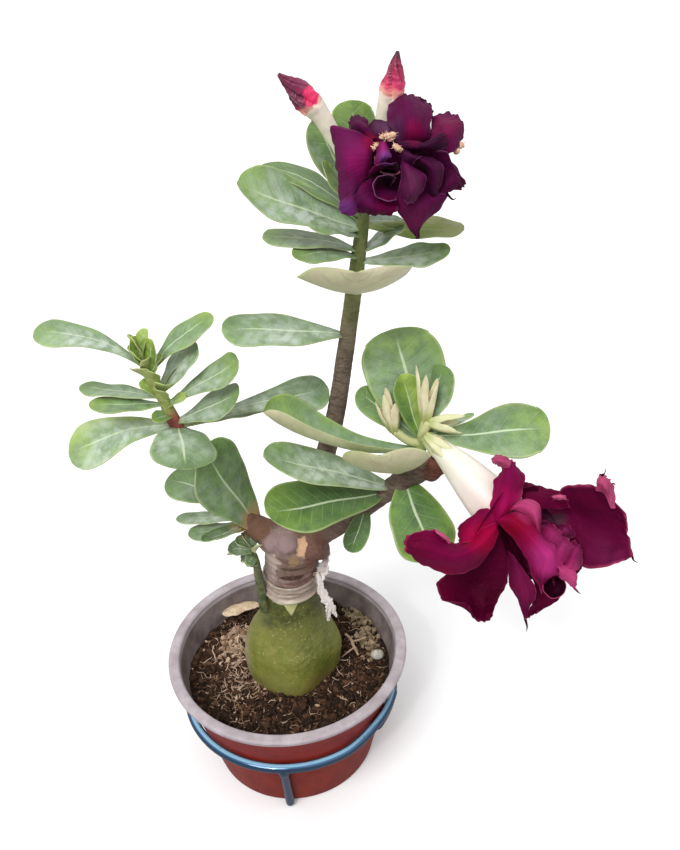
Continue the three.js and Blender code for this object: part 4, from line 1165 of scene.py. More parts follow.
leaf_material, shader, place = new_material(
    "waxy_leaf", Coat_Weight=0.22, Coat_Roughness=0.28, Specular_IOR_Level=0.5,
    Subsurface_Weight=0.1, Subsurface_Scale=0.0015)
shader.inputs["Subsurface Radius"].default_value = (0.5, 1.0, 0.2)
along, across, under, vein, bloom, lime, dark = stored(
    shader, "along", "across", "under", "vein", "bloom", "lime", "dark"
)
midrib, side_veins, between, rim = node(
    place.tree, "Group", ("Midrib", "Side veins", "Between", "Rim"),
    [("Along", along), ("Across", across), ("Vein", vein)], node_tree=veins)
patch, _ = blotch(place, 130.0, 0.5, 0.18)
cloudy, _ = blotch(ragged(place, 420.0, 2.0), 170.0, 0.5, 0.2)
speckle, fine = blotch(place, 1300.0, 0.3, 0.06)
from_middle = abs(across)
upper = mix(patch, (0.07, 0.16, 0.026), (0.145, 0.29, 0.058))
# Painted shade: each leaf's dark share darkens its upper face, and the shadowy blotches are patches of
# painted shade.
upper = mix(dark * 0.75, upper, (0.042, 0.1, 0.02))
shadowy, _ = blotch(ragged(place, 500.0, 1.5), 190.0, 0.34, 0.1)
upper = mix(shadowy * 0.55, upper, (0.04, 0.095, 0.03))
# Yellow-green toward the tip and edges: partly the leaf's own colour, partly painted light where the light
# falls on them. The freshest leaves are yellow-green all over, their own colour.
outer = most(step(from_middle, 0.55, 1.0) * 0.6, step(along, 0.55, 1.0))
limey = outer * lime * (0.45 + patch)
upper = mix(least(limey, 0.95), upper, (0.24, 0.37, 0.038))
fresh = step(lime, 0.82, 1.0)
upper = mix(fresh * 0.85, upper, mix(patch, (0.25, 0.36, 0.05), (0.38, 0.5, 0.11)))
inner_part = 1.0 - outer * 0.7
# Painted sheen together with the waxy bloom: pale grey-green over the middle of the blade, where the sky
# glares on the wax.
bloom_and_sheen_share = bloom * inner_part * (0.3 + cloudy * 0.85)
bloom_and_sheen_share = bloom_and_sheen_share * (0.8 + between * 0.25)
upper = coats(
    upper, (least(bloom_and_sheen_share, 0.9), (0.54, 0.62, 0.53)), (side_veins * 0.2, (0.4, 0.52, 0.28)),
    (speckle * 0.18, (0.3, 0.42, 0.2)), (midrib * 0.8, (0.58, 0.68, 0.46))
)
warm = spot(ragged(place, 300.0, 3.0), (-9.5, -5, 150.5), (9, 9, 8), (1.4, 0.5))
upper = mix(warm * 0.8, upper, (0.44, 0.27, 0.12))
lower = mix(patch, (0.38, 0.4, 0.16), (0.56, 0.56, 0.32))
# Beneath, the bloom and painted sheen turn the face pale cream.
lower = coats(
    lower, (bloom * 0.9, (0.82, 0.77, 0.54)), (fresh * 0.85, (0.36, 0.44, 0.11)),
    (cloudy * (outer * 0.6), (0.52, 0.42, 0.3)), (side_veins * 0.25, (0.24, 0.3, 0.1)),
    (midrib * 0.7, (0.62, 0.64, 0.42))
)
leaf_colour = mix(under, upper, lower)
leaf_colour = mix(rim * 0.45, leaf_colour, (0.46, 0.54, 0.24))
dress(shader, leaf_colour, fine * 0.6 + side_veins * -0.5, 0.25, 0.6, 0.34 + cloudy * 0.22)
leaf_rows = [
    (f"{group}_{count}" if len(rows) > 1 else group, row)
    for group, rows in LEAVES.items() for count, row in enumerate(rows, 1)
]
for number, (name, row) in enumerate(leaf_rows):
    stem, at, heading, rise, length, width, shape, bloom, lime, dark = row
    base = catmull(STEMS[stem][0], [at])[0]
    skin, values = leaf_skin(base, towards(heading, rise), length, width, 100 + number, **shape)
    # The back half of each blade, away from the camera, gets more painted shade, less painted sheen and more
    # yellow-green.
    far = -values["across"] * np.sign(math.cos(math.radians(heading)))
    for key, level_now, slant in (("bloom", bloom, -0.4), ("lime", lime, 0.2), ("dark", dark, 0.5)):
        values[key] = np.clip(level_now * (1 + slant * far), 0, 1)
    leaf = make_piece(name + "_blade", skin, leaf_material, values)
    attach(leaf, "root")
    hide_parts(name)
young_leaves = []
for number, (stem, at, heading, rise, length, width, lime) in enumerate((
    ("left", 0.8, 215, 50, 13, 7, 1.0), ("left", 0.74, 300, 42, 12, 7, 1.0),
    ("left", 0.86, 290, 62, 11, 6, 1.0), ("left", 0.7, 185, 48, 13, 7, 1.0),
    ("left", 0.66, 330, 34, 13, 6, 0.95), ("left", 0.9, 220, 60, 13, 7, 1.0),
    ("left", 0.95, 170, 66, 12, 6, 1.0), ("left", 0.62, 240, 18, 12, 6, 0.8),
    ("left", 0.84, 340, 55, 13, 7, 1.0), ("left", 0.78, 260, 66, 11, 6, 1.0),
    ("left", 0.97, 20, 70, 12, 6, 1.0), ("left", 0.69, 262, 55, 12, 6, 1.0),
    ("sprout", 0.97, 150, 55, 9, 6, 0.3), ("sprout", 0.93, 195, 20, 12, 7, 0.0),
    ("sprout", 0.88, 170, -5, 13, 7, 0.1), ("sprout", 0.84, 250, 10, 8, 5, 0.0),
    ("sprout", 0.95, 100, 60, 10, 6, 0.3), ("sprout", 0.99, 215, 45, 11, 6, 0.1),
    ("sprout", 0.74, 205, 25, 8, 5, 0.0), ("sprout", 0.9, 340, 50, 8, 5, 0.2)
)):
    base = catmull(STEMS["left"][0] if stem == "left" else SPROUT, [at])[0]
    skin, values = leaf_skin(
        base, towards(heading, rise), length, width, 300 + number, roll=25 * (-1) ** number, neck=0.8,
        blunt=3, bow=0.8, cup=0.3, wave=0.15, rows=28, columns=11
    )
    # The sucker's leaves, low down, get more painted shade.
    values |= filled(skin, bloom=0.4 - 0.3 * lime, lime=lime, dark=0.2 + 0.6 * (stem == "sprout"))
    young_leaves.append((skin, values))
young_skin, young_values = merged(young_leaves)
young = make_piece("young_leaves", young_skin, leaf_material, young_values)
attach(young, "root")
skin, values = leaf_skin(
    np.array([-8.6, -8, 127]), towards(188, 31), 9, 10, 7, roll=10, neck=0.8, blunt=3, rows=30, columns=13
)
values |= filled(skin, bloom=0.6, lime=0.1, dark=0.2)
sucker_leaf = make_piece("sucker_leaf_blade", skin, leaf_material, values)
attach(sucker_leaf, "root")
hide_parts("sucker_leaf")


# ---------------------------------------------------------------- litter on the mix
# What fell on the mix and lies loose on it: a curled dry leaf at the back left, a pale stone at the
# right and a forked grey twig.

twig_skin = gather([
    rod(
        [(29.5, 16, 55.2), (32.0, 11.5, 56.2), (33.4, 6, 56.6), (35.6, 0.5, 55.6)], (0.7, 0.8, 0.75, 0.45),
        24, 10
    ),
    rod([(32.4, 9.6, 56.3), (36.0, 9.2, 57.4), (40.4, 11.6, 57.0)], (0.6, 0.5, 0.3), 24, 10),
    rod([(33.6, 5.0, 56.5), (30.5, 1.5, 57.2), (27.0, -1.0, 56.4)], (0.5, 0.4, 0.25), 24, 10)
])
twig = make_piece("forked_twig", twig_skin, soil_material, filled(twig_skin, tone=0.78, moss=0.0))
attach(twig, "root")

dry_skin, dry_values = leaf_skin(
    np.array([-17.5, 43.2, 54.6]), towards(199, 2), 21, 8, 9, roll=0, neck=0.4, blunt=5, bow=1.5, cup=-0.25,
    thick=0.5, rows=40, columns=15
)
dry_material, shader, place = new_material("dry_leaf_skin", Roughness=0.75)
patch, fine = blotch(place, 260.0, 0.5, 0.15)
spots, _ = blotch(place, 600.0, 0.25, 0.05)
dry = mix(patch, (0.5, 0.36, 0.22), (0.66, 0.54, 0.38))
dress(shader, mix(spots * 0.7, dry, (0.22, 0.12, 0.06)), fine, 0.5, 0.7)
dry_leaf = make_piece("curled_dry_leaf", dry_skin, dry_material, dry_values)
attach(dry_leaf, "root")
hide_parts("dry_leaf")

stone_shape = 3.4 * ball(22, 32, 0.05)
lumpy = 1 + 0.1 * ripples(stone_shape, 3.2, 6) + 0.04 * ripples(stone_shape, 1.2, 7)
stone_shape = stone_shape * [1, 0.8, 0.8] * lumpy[..., None]
stone_material, shader, place = new_material("pale_pebble", Roughness=0.7)
patch, fine = blotch(place, 420.0, 0.45, 0.15)
dress(shader, mix(patch, (0.5, 0.47, 0.42), (0.3, 0.27, 0.22)), fine, 0.4, 0.7)
stone = make_piece("pebble", closed_rings(stone_shape + [45.5, 2, 53.6]), stone_material)
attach(stone, "root")
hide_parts("pale_stone")


# ---------------------------------------------------------------- old calyxes
# Calyxes on the right shoot: two spent ones dried to straw, a greener one beside them and the one that
# holds the side flower. Each is a cup of five long, narrow, papery sepals that grew from its stalk.


def sepals(base, tip, length, width, spread, seed, fresh, count=5):
    """Narrow blades round an axis, each leaning out by the spread, cupped towards the axis."""
    rng = np.random.default_rng(seed)
    axis = unit(np.array(tip, float) - np.array(base, float))
    first = unit(np.cross(axis, [0.3, 1.0, 0.2]))
    second = np.cross(axis, first)
    parts = []
    for number in range(count):
        around = 2 * np.pi * (number + rng.uniform(-0.15, 0.15)) / count + rng.uniform(0, 0.3)
        out = math.cos(around) * first + math.sin(around) * second
        lean = math.radians(spread + rng.uniform(-5, 7))
        d = math.cos(lean) * axis + math.sin(lean) * out
        parts.append(
            leaf_skin(
                np.array(base, float) + out * width * 0.28, d, length * rng.uniform(0.75, 1.05), width,
                seed + number, up=-out, bow=-width * 0.35, cup=0.5, neck=0.45, blunt=1.6, point=0.9,
                rim=0.25, thick=0.5, wave=0.15, curl=rng.uniform(-2.2, 0.4), rows=34, columns=11
            )
        )
    skin, values = merged(parts)
    return skin, values | filled(skin, fresh=fresh)


calyx_material, shader, place = new_material(
    "straw_calyx", Roughness=0.55, Subsurface_Weight=0.1, Subsurface_Scale=0.001
)
along, across, fresh = stored(shader, "along", "across", "fresh")
patch, fine = blotch(place, 300.0, 0.5, 0.15)
straw = mix(patch, (0.72, 0.68, 0.42), (0.86, 0.76, 0.54))
straw = coats(
    straw, (step(along, 0.42, 0.08), (0.42, 0.44, 0.14)),
    (step(along, 0.82, 1.0) * 0.5, (0.42, 0.46, 0.26)), (fresh * 0.85, (0.44, 0.52, 0.24))
)
rib = step(abs(across), 0.22, 0.05)
straw = mix(rib * 0.35, straw, (0.78, 0.72, 0.5))
dress(shader, straw, fine, 0.3, 0.5)
CALYXES = [
    # base, tip, sepal length, width, spread, freshness
    ((54.8, -12.5, 198.5), (51.8, -11.0, 216), 20.5, 3.5, 7, 0.0),
    ((67.8, -12.5, 202.5), (69.2, -11.2, 222), 25, 3.4, 5.5, 0.0),
    ((69, -13.5, 202.5), (82, -15, 203.2), 14.5, 3.4, 12, 0.6),
    ((67.0, -16.6, 198.5), (76, -20.5, 191.0), 13, 3.6, 15, 0.45),
]
calyx_parts = []
for number, (base, tip, length, width, spread, fresh) in enumerate(CALYXES):
    calyx_parts.append(sepals(base, tip, length, width, spread, 40 + 10 * number, fresh))
for stalk in (
    [(65.8, -12.5, 192), (60.5, -13, 194), (54.8, -12.5, 199)],
    [(66, -12.5, 194), (66.6, -12.6, 198), (67.8, -12.5, 203)],
    [(66, -13, 196), (67, -13.6, 199), (69.4, -13.5, 202.6)]
):
    skin = rod(stalk, 1.9, 14, 14)
    calyx_parts.append((skin, filled(skin, **dict.fromkeys(calyx_parts[0][1], 0.05))))
calyx_skin, calyx_values = merged(calyx_parts)
calyxes = make_piece("dried_calyxes", calyx_skin, calyx_material, calyx_values)
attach(calyxes, "root")


# ---------------------------------------------------------------- buds
# Two buds at the top: a cream tube in a small green calyx, then five petals furled in a spiral, pink
# at the foot of the bud, crimson along it and nearly black at the tip.

bud_material, shader, place = new_material(
    "furled_bud", Roughness=0.42, Sheen_Weight=0.15, Subsurface_Weight=0.1, Subsurface_Scale=0.001)
along, groove, dull = stored(shader, "along", "groove", "dull")
patch, fine = blotch(place, 330.0, 0.5, 0.15)
streaky, _ = blotch(place, 700.0, 0.4, 0.1)
where = along + patch * 0.045
shades = ramp(
    where, (0.0, 0.34, 0.42, 0.1), (0.12, 0.62, 0.6, 0.3), (0.28, 0.84, 0.8, 0.63),
    (0.54, 0.84, 0.74, 0.62), (0.6, 0.82, 0.34, 0.28), (0.66, 0.66, 0.03, 0.125),
    (0.8, 0.36, 0.01, 0.07), (0.93, 0.17, 0.006, 0.04), (1.0, 0.04, 0.004, 0.012)
)
furl = mix(step(along, 0.57, 0.63) * (dull * 0.9), shades, (0.15, 0.006, 0.052))
# The last layer darkens the grooves between the furled petals: painted shade.
furl = coats(
    furl, (step(along, 0.6, 0.68) * (streaky * 0.35), (0.42, 0.016, 0.11)),
    (spot(ragged(place, 300.0, 1.6), (28.3, 0, 331.2), (3.0, 5, 3.4)), (0.78, 0.02, 0.13)),
    (step(along, 0.6, 0.7) * (groove * 0.4), (0.035, 0.003, 0.012))
)
dress(shader, furl, fine, 0.25, 0.4)
BUDS = {
    "left_bud": (
        [
            (41.8, 4.2, 296.8), (38.8, 4.8, 305), (35.2, 4.4, 315.5), (31, 3.3, 324), (27.6, 2.4, 328.5),
            (24, 2.0, 332.5), (20.5, 1.0, 336), (17.5, 0, 339)
        ],
        [1.5, 2.4, 3.3, 3.7, 4.5, 3.9, 2.2, 0.6], 0.0
    ),
    "top_bud": (
        [
            (49.2, 8.3, 298), (51.4, 8.3, 307), (53.3, 8, 314.5), (55.3, 7, 324), (57.2, 6.4, 330),
            (58.0, 6, 335), (58.6, 6, 339), (59.3, 6, 343.4)
        ],
        [1.5, 2.5, 3.2, 3.8, 4.5, 3.3, 2.2, 0.5], 1.7
    )
}
for name, (points, radii, phase) in BUDS.items():
    rows, sides = 150, 60
    girth = catmull(radii, rows)[:, 0]
    share = np.linspace(0, 1, rows)[:, None]
    turn = circle(sides)[None]
    lobe = (5 * (turn + 3.4 * share + phase) / (2 * np.pi)) % 1.0
    furled = np.clip((share - 0.5) / 0.12, 0, 1)
    fold_line = np.exp(-((np.minimum(lobe, 1 - lobe) / 0.1) ** 2))
    around = round_stem(share, turn)
    crest = (
        (lobe - 0.5) * 0.55 * furled - 0.3 * fold_line * furled
        + (0.05 + 0.1 * furled) * ripples(around, 2.2, 3)
    )
    crest = crest + 0.16 * furled * ripples(around, 1.1, 5) * np.clip(lobe * 3 - 2, 0, 1)
    crest = crest * girth[:, None] * 0.75
    body_skin = closed_rings(limb(catmull(points, rows), girth, sides, lambda s, t: crest))
    values = {
        "along": np.concatenate([np.broadcast_to(share, (rows, sides)).ravel(), [0, 1]]),
        "groove": np.concatenate([(fold_line * furled).ravel(), [0, 0]]),
        "dull": np.full(rows * sides + 2, float(phase == 0.0))
    }
    bud = make_piece(name + "_body", body_skin, bud_material, values)
    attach(bud, "root")
    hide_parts(name)
    skin, values = sepals(
        np.array(points[0]) - [0, 0, 1.0], points[1], 8.5, 3.4, 12, 90 + int(10 * phase), 1.0
    )
    cup = make_piece(name + "_calyx", skin, calyx_material, values)
    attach(cup, "root")


# ---------------------------------------------------------------- top flower
# A double flower that faces the camera, very dark plum, on a short cream tube. Broad ruffled outer
# petals stand behind curled inner ones, with a tuft of cream feathery anthers at the centre.

TOP_AXIS = towards(-92, 12)
EYE, PITCH, ROLL = np.array([32.4, -327.7, 400.0]), math.radians(32), math.radians(-3)
FORWARD = np.array([0, math.cos(PITCH), -math.sin(PITCH)])
RIGHT = math.cos(ROLL) * np.array([1.0, 0, 0]) + math.sin(ROLL) * np.cross([1.0, 0, 0], FORWARD)
UPWARD = np.cross(RIGHT, FORWARD)
# Petals are drawn on a flat sheet held square to the line of sight. A sheet has its distance from the
# eye, its corner to the right of the line of sight and above it, and the step between its lines.
TOP_SHEET, SIDE_SHEET = (314.9, -5.25, 118.96, 0.0357), (370.3, 22.63, -6.17, 0.0643)


def lifted(points, sheet):
    """Places of points on a sheet. Each point counts steps to the right and down from the corner, and
    stands some millimetres towards the eye, along its own line of sight."""
    away, right_of, above, pace = sheet
    p = np.array(points, float)
    flat = (right_of + pace * p[..., :1]) * RIGHT + (above - pace * p[..., 1:2]) * UPWARD
    return EYE + FORWARD * (away - p[..., 2:]) + flat * (1 - p[..., 2:] / away)


def curl(x, y, across, down, near):
    """A row of eight points on a sheet, a full turn round a middle."""
    a = np.radians(np.linspace(100, 460, 8))
    return np.stack([x + across * np.cos(a), y - down * np.sin(a), near + 0 * a], -1).ravel()


def surface(control, rows, columns):
    """A smooth surface through a grid of points: Catmull-Rom curves along it, then across it."""
    grid = np.array(control, float)
    long_way = catmull(grid.reshape(len(grid), -1), rows).reshape(rows, grid.shape[1], 3)
    cross_way = catmull(long_way.swapaxes(0, 1).reshape(grid.shape[1], -1), columns)
    return cross_way.reshape(columns, rows, 3).swapaxes(0, 1)


def normals_of(points):
    return unit(np.cross(np.gradient(points, axis=0), np.gradient(points, axis=1)))


def petal_skin(control, axis, ruffle, seed, thick=0.45, rows=48, columns=36):
    """A petal as one closed skin. To the smooth surface are added waves that grow with the cube of the
    distance from the midline and with the sixth power of the length, ribs that run from the foot,
    crinkles, and notches in the plane of the edge. The face towards the axis is the upper one."""
    rng = np.random.default_rng(seed)
    points = surface(control, rows, columns)
    if (normals_of(points) @ axis).mean() < 0:
        points = points[:, ::-1]
    s = np.linspace(0, 1, rows)[:, None]
    t = np.linspace(-1, 1, columns)[None]
    long_step, cross_step = unit(np.gradient(points, axis=0)), unit(np.gradient(points, axis=1))
    size = np.linalg.norm(points[-1].mean(0) - points[0].mean(0))
    beat = max(2.0, size / 9)
    edge, tip = np.abs(t) ** 3 * s**0.4, s**5
    wave = edge * (
        np.sin(2 * np.pi * (s * beat + rng.uniform()) + np.sign(t) * 1.2)
        + 0.5 * np.sin(2 * np.pi * (s * beat * 2.3 + rng.uniform()) - np.sign(t))
    )
    wave = wave + tip * (
        np.sin(2 * np.pi * (t * 1.3 + rng.uniform())) + 0.5 * np.sin(2 * np.pi * (t * 2.9 + rng.uniform()))
    )
    ribs = 0.07 * np.sin(2 * np.pi * (t * 2.5 + 0.3 * np.sin(s * 5 + seed))) * s
    crinkle = 0.4 * ripples(points, 8.0, seed) + 0.08 * ripples(points, 2.6, seed + 1)

    def notches(steps, coarse, fine, number):
        line = np.stack([steps, 0 * steps + seed], -1)
        return (
            coarse[0] * ripples(line, coarse[1], seed + number)
            + fine * ripples(line, 1.6, seed + number + 1)
        )

    side_notch = np.sign(t) * np.abs(t) ** 4 * notches(s[:, 0] * size, (0.45, 3.2), 0.14, 2)[:, None] * ruffle
    tip_notch = s**8 * notches(t[0] * 6, (0.6, 4.0), 0.14, 4)[None] * ruffle
    points = points + normals_of(points) * (0.55 * ruffle * wave + ribs + crinkle)[..., None]
    points = points + cross_step * side_notch[..., None] + long_step * tip_notch[..., None]
    normal = normals_of(points)
    half = 0.5 * thick * (1 - 0.55 * np.abs(t) ** 4) * (1 - 0.5 * s**6)
    rings = both_faces(points + normal * half[..., None], points - normal * half[..., None])
    values = on_faces((rows, columns), along=(s, s), across=(t, t), under=(0, 1))
    return closed_rings(rings, folded=True), {key: both.ravel() for key, both in values.items()}


def hair(base, tip, girth, seed, bend=0.6, rows=9, sides=6):
    """A thin tapered thread between two points, bent a little sideways."""
    base, tip = np.array(base, float), np.array(tip, float)
    rng = np.random.default_rng(seed)
    middle = (base + tip) / 2 + rng.normal(size=3) * bend
    path = catmull([base, middle, tip], rows)
    return closed_rings(limb(path, girth * (1 - 0.85 * np.linspace(0, 1, rows)), sides))


# Streaks along a petal: noise drawn out from the foot to the tip, in the petal's own measures.
streaks, (along, across, seed, fineness), made_here = new_group(
    "petal_streaks",
    [("Along", "Float", 0.0), ("Across", "Float", 0.0), ("Seed", "Float", 0.0), ("Fineness", "Float", 9.0)],
    ["Streak", "Mask"]
)
streak_place = node(streaks, "CombineXYZ", 0, [(0, across * fineness), (1, along * 1.6), (2, seed * 7.0)])
noise = node(
    streaks, "TexNoise", "Fac",
    [("Vector", streak_place), ("Scale", 1.0), ("Detail", 4.0), ("Roughness", 0.6)]
)
feed(made_here["Streak"], noise)
feed(made_here["Mask"], step(noise, 0.46, 0.66))

petal_material, shader, place = new_material(
    "velvet_petal", Sheen_Weight=0.02, Sheen_Roughness=0.4, Specular_IOR_Level=0.12)
shader.inputs["Sheen Tint"].default_value = (0.95, 0.15, 0.45, 1)
shader.inputs["Specular Tint"].default_value = (1.0, 0.25, 0.55, 1)
along, across, under, dark, magenta, rim, violet, pink, plum, number = stored(
    shader, "along", "across", "under", "dark", "magenta", "rim", "violet", "pink", "plum", "number"
)
streak, streak_mask = node(
    place.tree, "Group", ("Streak", "Mask"), [("Along", along), ("Across", across), ("Seed", number)],
    node_tree=streaks
)
patch, fine = blotch(place, 140.0, 0.5, 0.2)
grain, _ = blotch(place, 900.0, 0.35, 0.12)
crimson = mix(plum, (0.092, 0.0004, 0.022), (0.062, 0.0015, 0.03))
deep = mix(plum, (0.03, 0.0002, 0.006), (0.008, 0.0004, 0.007))
glow = mix(plum, (0.26, 0.003, 0.07), (0.17, 0.004, 0.08))
# Each petal's dark share: partly its own near-black plum, partly painted shade in folds and hollows.
velvet = mix(dark, crimson, deep)
# Bright magenta glow, stronger toward each petal's foot: partly the petal's own colour, partly painted
# highlight.
lit = (1.0 - step(along, 0.45, 1.0)) * 0.35
share = magenta * (0.25 + lit + patch * 0.35)
velvet = coats(velvet, (least(share, 1.0), glow), (violet * (0.25 + patch * 0.4), (0.11, 0.02, 0.1)))
uneven = ragged(place, 160.0, 2.2)
# Dabs of colour at places on the petals: partly the petals' own patches, partly painted highlight on lit
# folds and painted shade deep in the flower.
DABS = {
    # centre on the sheet, half sizes in millimetres, colour, strength
    SIDE_SHEET: [
        ((705, 420, 13), (7, 8, 8), (0.31, 0.004, 0.07), 0.75),
        ((750, 220, 15), (6, 7, 6), (0.15, 0.004, 0.048), 0.5),
        ((575, 625, 13), (9, 9, 6.5), (0.34, 0.001, 0.036), 0.85),
        ((300, 820, 15), (7, 7, 3), (0.16, 0.0006, 0.022), 0.6),
        ((130, 690, 21), (7, 8, 6), (0.1, 0.001, 0.02), 0.7),
        ((780, 540, 16), (7, 9, 6), (0.19, 0.0005, 0.01), 0.9),
        ((860, 660, 18), (5, 7, 5), (0.24, 0.002, 0.04), 0.8),
        ((960, 780, 24), (7, 9, 7), (0.4, 0.026, 0.17), 0.9),
        ((860, 430, 16), (6, 6, 4.5), (0.46, 0.048, 0.17), 0.8),
        ((1120, 880, 20), (6, 6, 6), (0.5, 0.04, 0.19), 0.8),
        ((1030, 500, -9), (4, 6, 3.5), (0.06, 0.034, 0.046), 0.8),
        ((1060, 650, 18), (8, 7, 7), (0.28, 0.03, 0.125), 0.6),
        ((810, 930, 8), (6, 6, 9), (0.15, 0.008, 0.05), 0.7),
        ((600, 980, -2), (9, 8, 9), (0.036, 0.0002, 0.005), 0.8),
        ((330, 930, 5), (5, 8, 7), (0.11, 0.0006, 0.02), 0.7),
        ((1280, 560, -6), (10, 9, 7), (0.08, 0.0015, 0.024), 0.6),
        ((1150, 370, 0), (9, 8, 4), (0.15, 0.001, 0.034), 0.6),
        ((1350, 740, 0), (8, 8, 4), (0.11, 0.01, 0.052), 0.6),
    ],
    TOP_SHEET: [
        ((370, 720, 10), (6.5, 8, 8), (0.21, 0.007, 0.088), 0.95),
        ((240, 600, 8), (4, 6, 5), (0.105, 0.006, 0.06), 0.6),
        ((240, 1040, 8), (4, 6, 5), (0.1, 0.012, 0.065), 0.7),
        ((190, 1215, 8), (3.5, 5, 3), (0.105, 0.026, 0.145), 0.8),
        ((880, 470, 7), (3.4, 6, 4.4), (0.17, 0.002, 0.04), 0.85),
        ((705, 440, 4), (3.5, 5, 4.5), (0.075, 0.022, 0.066), 0.7),
        ((1210, 380, 3), (6, 8, 5.5), (0.145, 0.009, 0.048), 0.8),
        ((590, 420, 0), (4.5, 4, 2.5), (0.105, 0.042, 0.09), 0.8),
        ((605, 710, 10), (3, 4, 3.2), (0.19, 0.06, 0.27), 0.85),
        ((555, 610, 9), (2.5, 4, 2.5), (0.26, 0.014, 0.13), 0.8),
        ((460, 560, 4), (3, 5, 3), (0.24, 0.003, 0.034), 0.8),
        ((620, 1190, 7), (5, 6, 3), (0.12, 0.001, 0.032), 0.8),
        ((900, 1290, 5), (5, 7, 5), (0.105, 0.01, 0.046), 0.7),
        ((850, 960, 14), (4.5, 5, 6.5), (0.082, 0.016, 0.05), 0.8),
        ((1290, 950, 2), (4, 6, 4), (0.07, 0.005, 0.036), 0.7),
    ],
}
for sheet, dabs in DABS.items():
    for centre, size, colour, strength in dabs:
        dab = spot(uneven, lifted(centre, sheet), size, (1.5, 0.35))
        velvet = mix(dab * strength, velvet, colour)
velvet = coats(
    velvet, (pink * (0.55 + patch * 0.6), (0.6, 0.12, 0.24)), (streak_mask * 0.22, deep),
    (under * 0.08, (0.2, 0.008, 0.06))
)
# Painted highlight: a paler pink rim along the edges and the tip of each petal.
from_middle = abs(across)
margin = most(step(from_middle, 0.9, 1.0), step(along, 0.93, 1.0))
margin = margin * (rim * (0.15 + patch))
velvet = coats(
    velvet, (least(margin, 0.8), mix(plum, (0.5, 0.07, 0.16), (0.24, 0.085, 0.19))),
    (grain * 0.1, (0.26, 0.012, 0.09))
)
dress(shader, velvet, streak + fine * 0.6, 0.25, 0.5, 0.45 + fine * 0.3)

cream_material, shader, place = new_material(
    "cream_tube_skin", Roughness=0.45, Subsurface_Weight=0.15, Subsurface_Scale=0.002)
along = stored(shader, "along")
patch, fine = blotch(place, 160.0, 0.5, 0.2)
shades = ramp(
    along, (0.0, 0.5, 0.54, 0.26), (0.18, 0.84, 0.8, 0.62), (0.6, 0.88, 0.8, 0.72),
    (0.88, 0.84, 0.66, 0.62), (1.0, 0.55, 0.1, 0.18)
)
dress(shader, mix(patch * 0.25, shades, (0.8, 0.66, 0.6)), fine, 0.3, 0.4)

anther_material, shader, place = new_material("feathery_anthers", Roughness=0.7)
patch, fine = blotch(place, 700.0, 0.5, 0.15)
dress(shader, mix(patch, (0.78, 0.62, 0.42), (0.62, 0.3, 0.2)), fine, 0.3, 0.8)


def flower(name, cad_node, petals, sheet, axis, tube_path, tube_radii, plum, awns, seed, cup):
    """Builds one flower: the tube, the petals as one piece with the dark thread-like petal tips, and
    a flared wavy cup behind the petals, whose rings are given by radius and distance along the axis."""
    tube_rows, tube_sides, inner_rows = 70, 48, 64
    path, girth = catmull(tube_path, tube_rows), catmull(tube_radii, tube_rows)[:, 0]
    walls, inner = (
        limb(
            path, r, tube_sides, lambda s, t: 0.05 * girth[:, None] * np.cos(5 * t) * s
        ) for r in (girth, girth - 0.55)
    )
    skin = closed_rings(np.concatenate([walls, inner[::-1][:inner_rows]]))
    share = np.concatenate([np.linspace(0, 1, tube_rows), np.ones(inner_rows)])
    tube = make_piece(name + "_tube", skin, cream_material, {"along": [*np.repeat(share, tube_sides), 0, 1]})
    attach(tube, "root")
    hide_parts(cad_node)
    first = unit(np.cross(axis, [0, 0, 1.0]))
    turn = np.linspace(0, 2 * np.pi, 16)[:, None]
    round_axis = np.cos(turn) * first + np.sin(turn) * np.cross(axis, first)
    mouth = np.array(tube_path[-1], float)
    flare = [
        mouth + ahead * axis + radius * (1 + share * np.cos(5 * turn)) * round_axis
        for radius, ahead, share in cup
    ]
    drawn = [(look, lifted(np.reshape(rows, (len(rows), -1, 3)), sheet)) for look, rows in petals]
    parts = []
    # The cup behind the petals is near black: the flower's own dark plum and painted shade deep in its
    # throat.
    for number, (look, control) in enumerate([*drawn, ((0.95, 0.1, 0.1, 0.4), flare)]):
        dark, magenta, rim, ruffle, violet, pink = (*look, 0.0, 0.0)[:6]
        skin, values = petal_skin(control, axis, ruffle, seed + 7 * number)
        values |= filled(
            skin, dark=dark, magenta=magenta, rim=rim, violet=violet, pink=pink, plum=plum,
            number=number + seed / 10
        )
        parts.append((skin, values))
    for number, (base, tip) in enumerate(awns):
        skin = hair(lifted(base, sheet), lifted(tip, sheet), 0.55, seed + number)
        parts.append((skin, filled(skin, **dict.fromkeys(values, 0.0) | {"dark": 1.0, "plum": 1.0})))
    skin, values = merged(parts)
    whorl = make_piece(name + "_petals", skin, petal_material, values)
    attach(whorl, "root")
    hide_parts(cad_node)


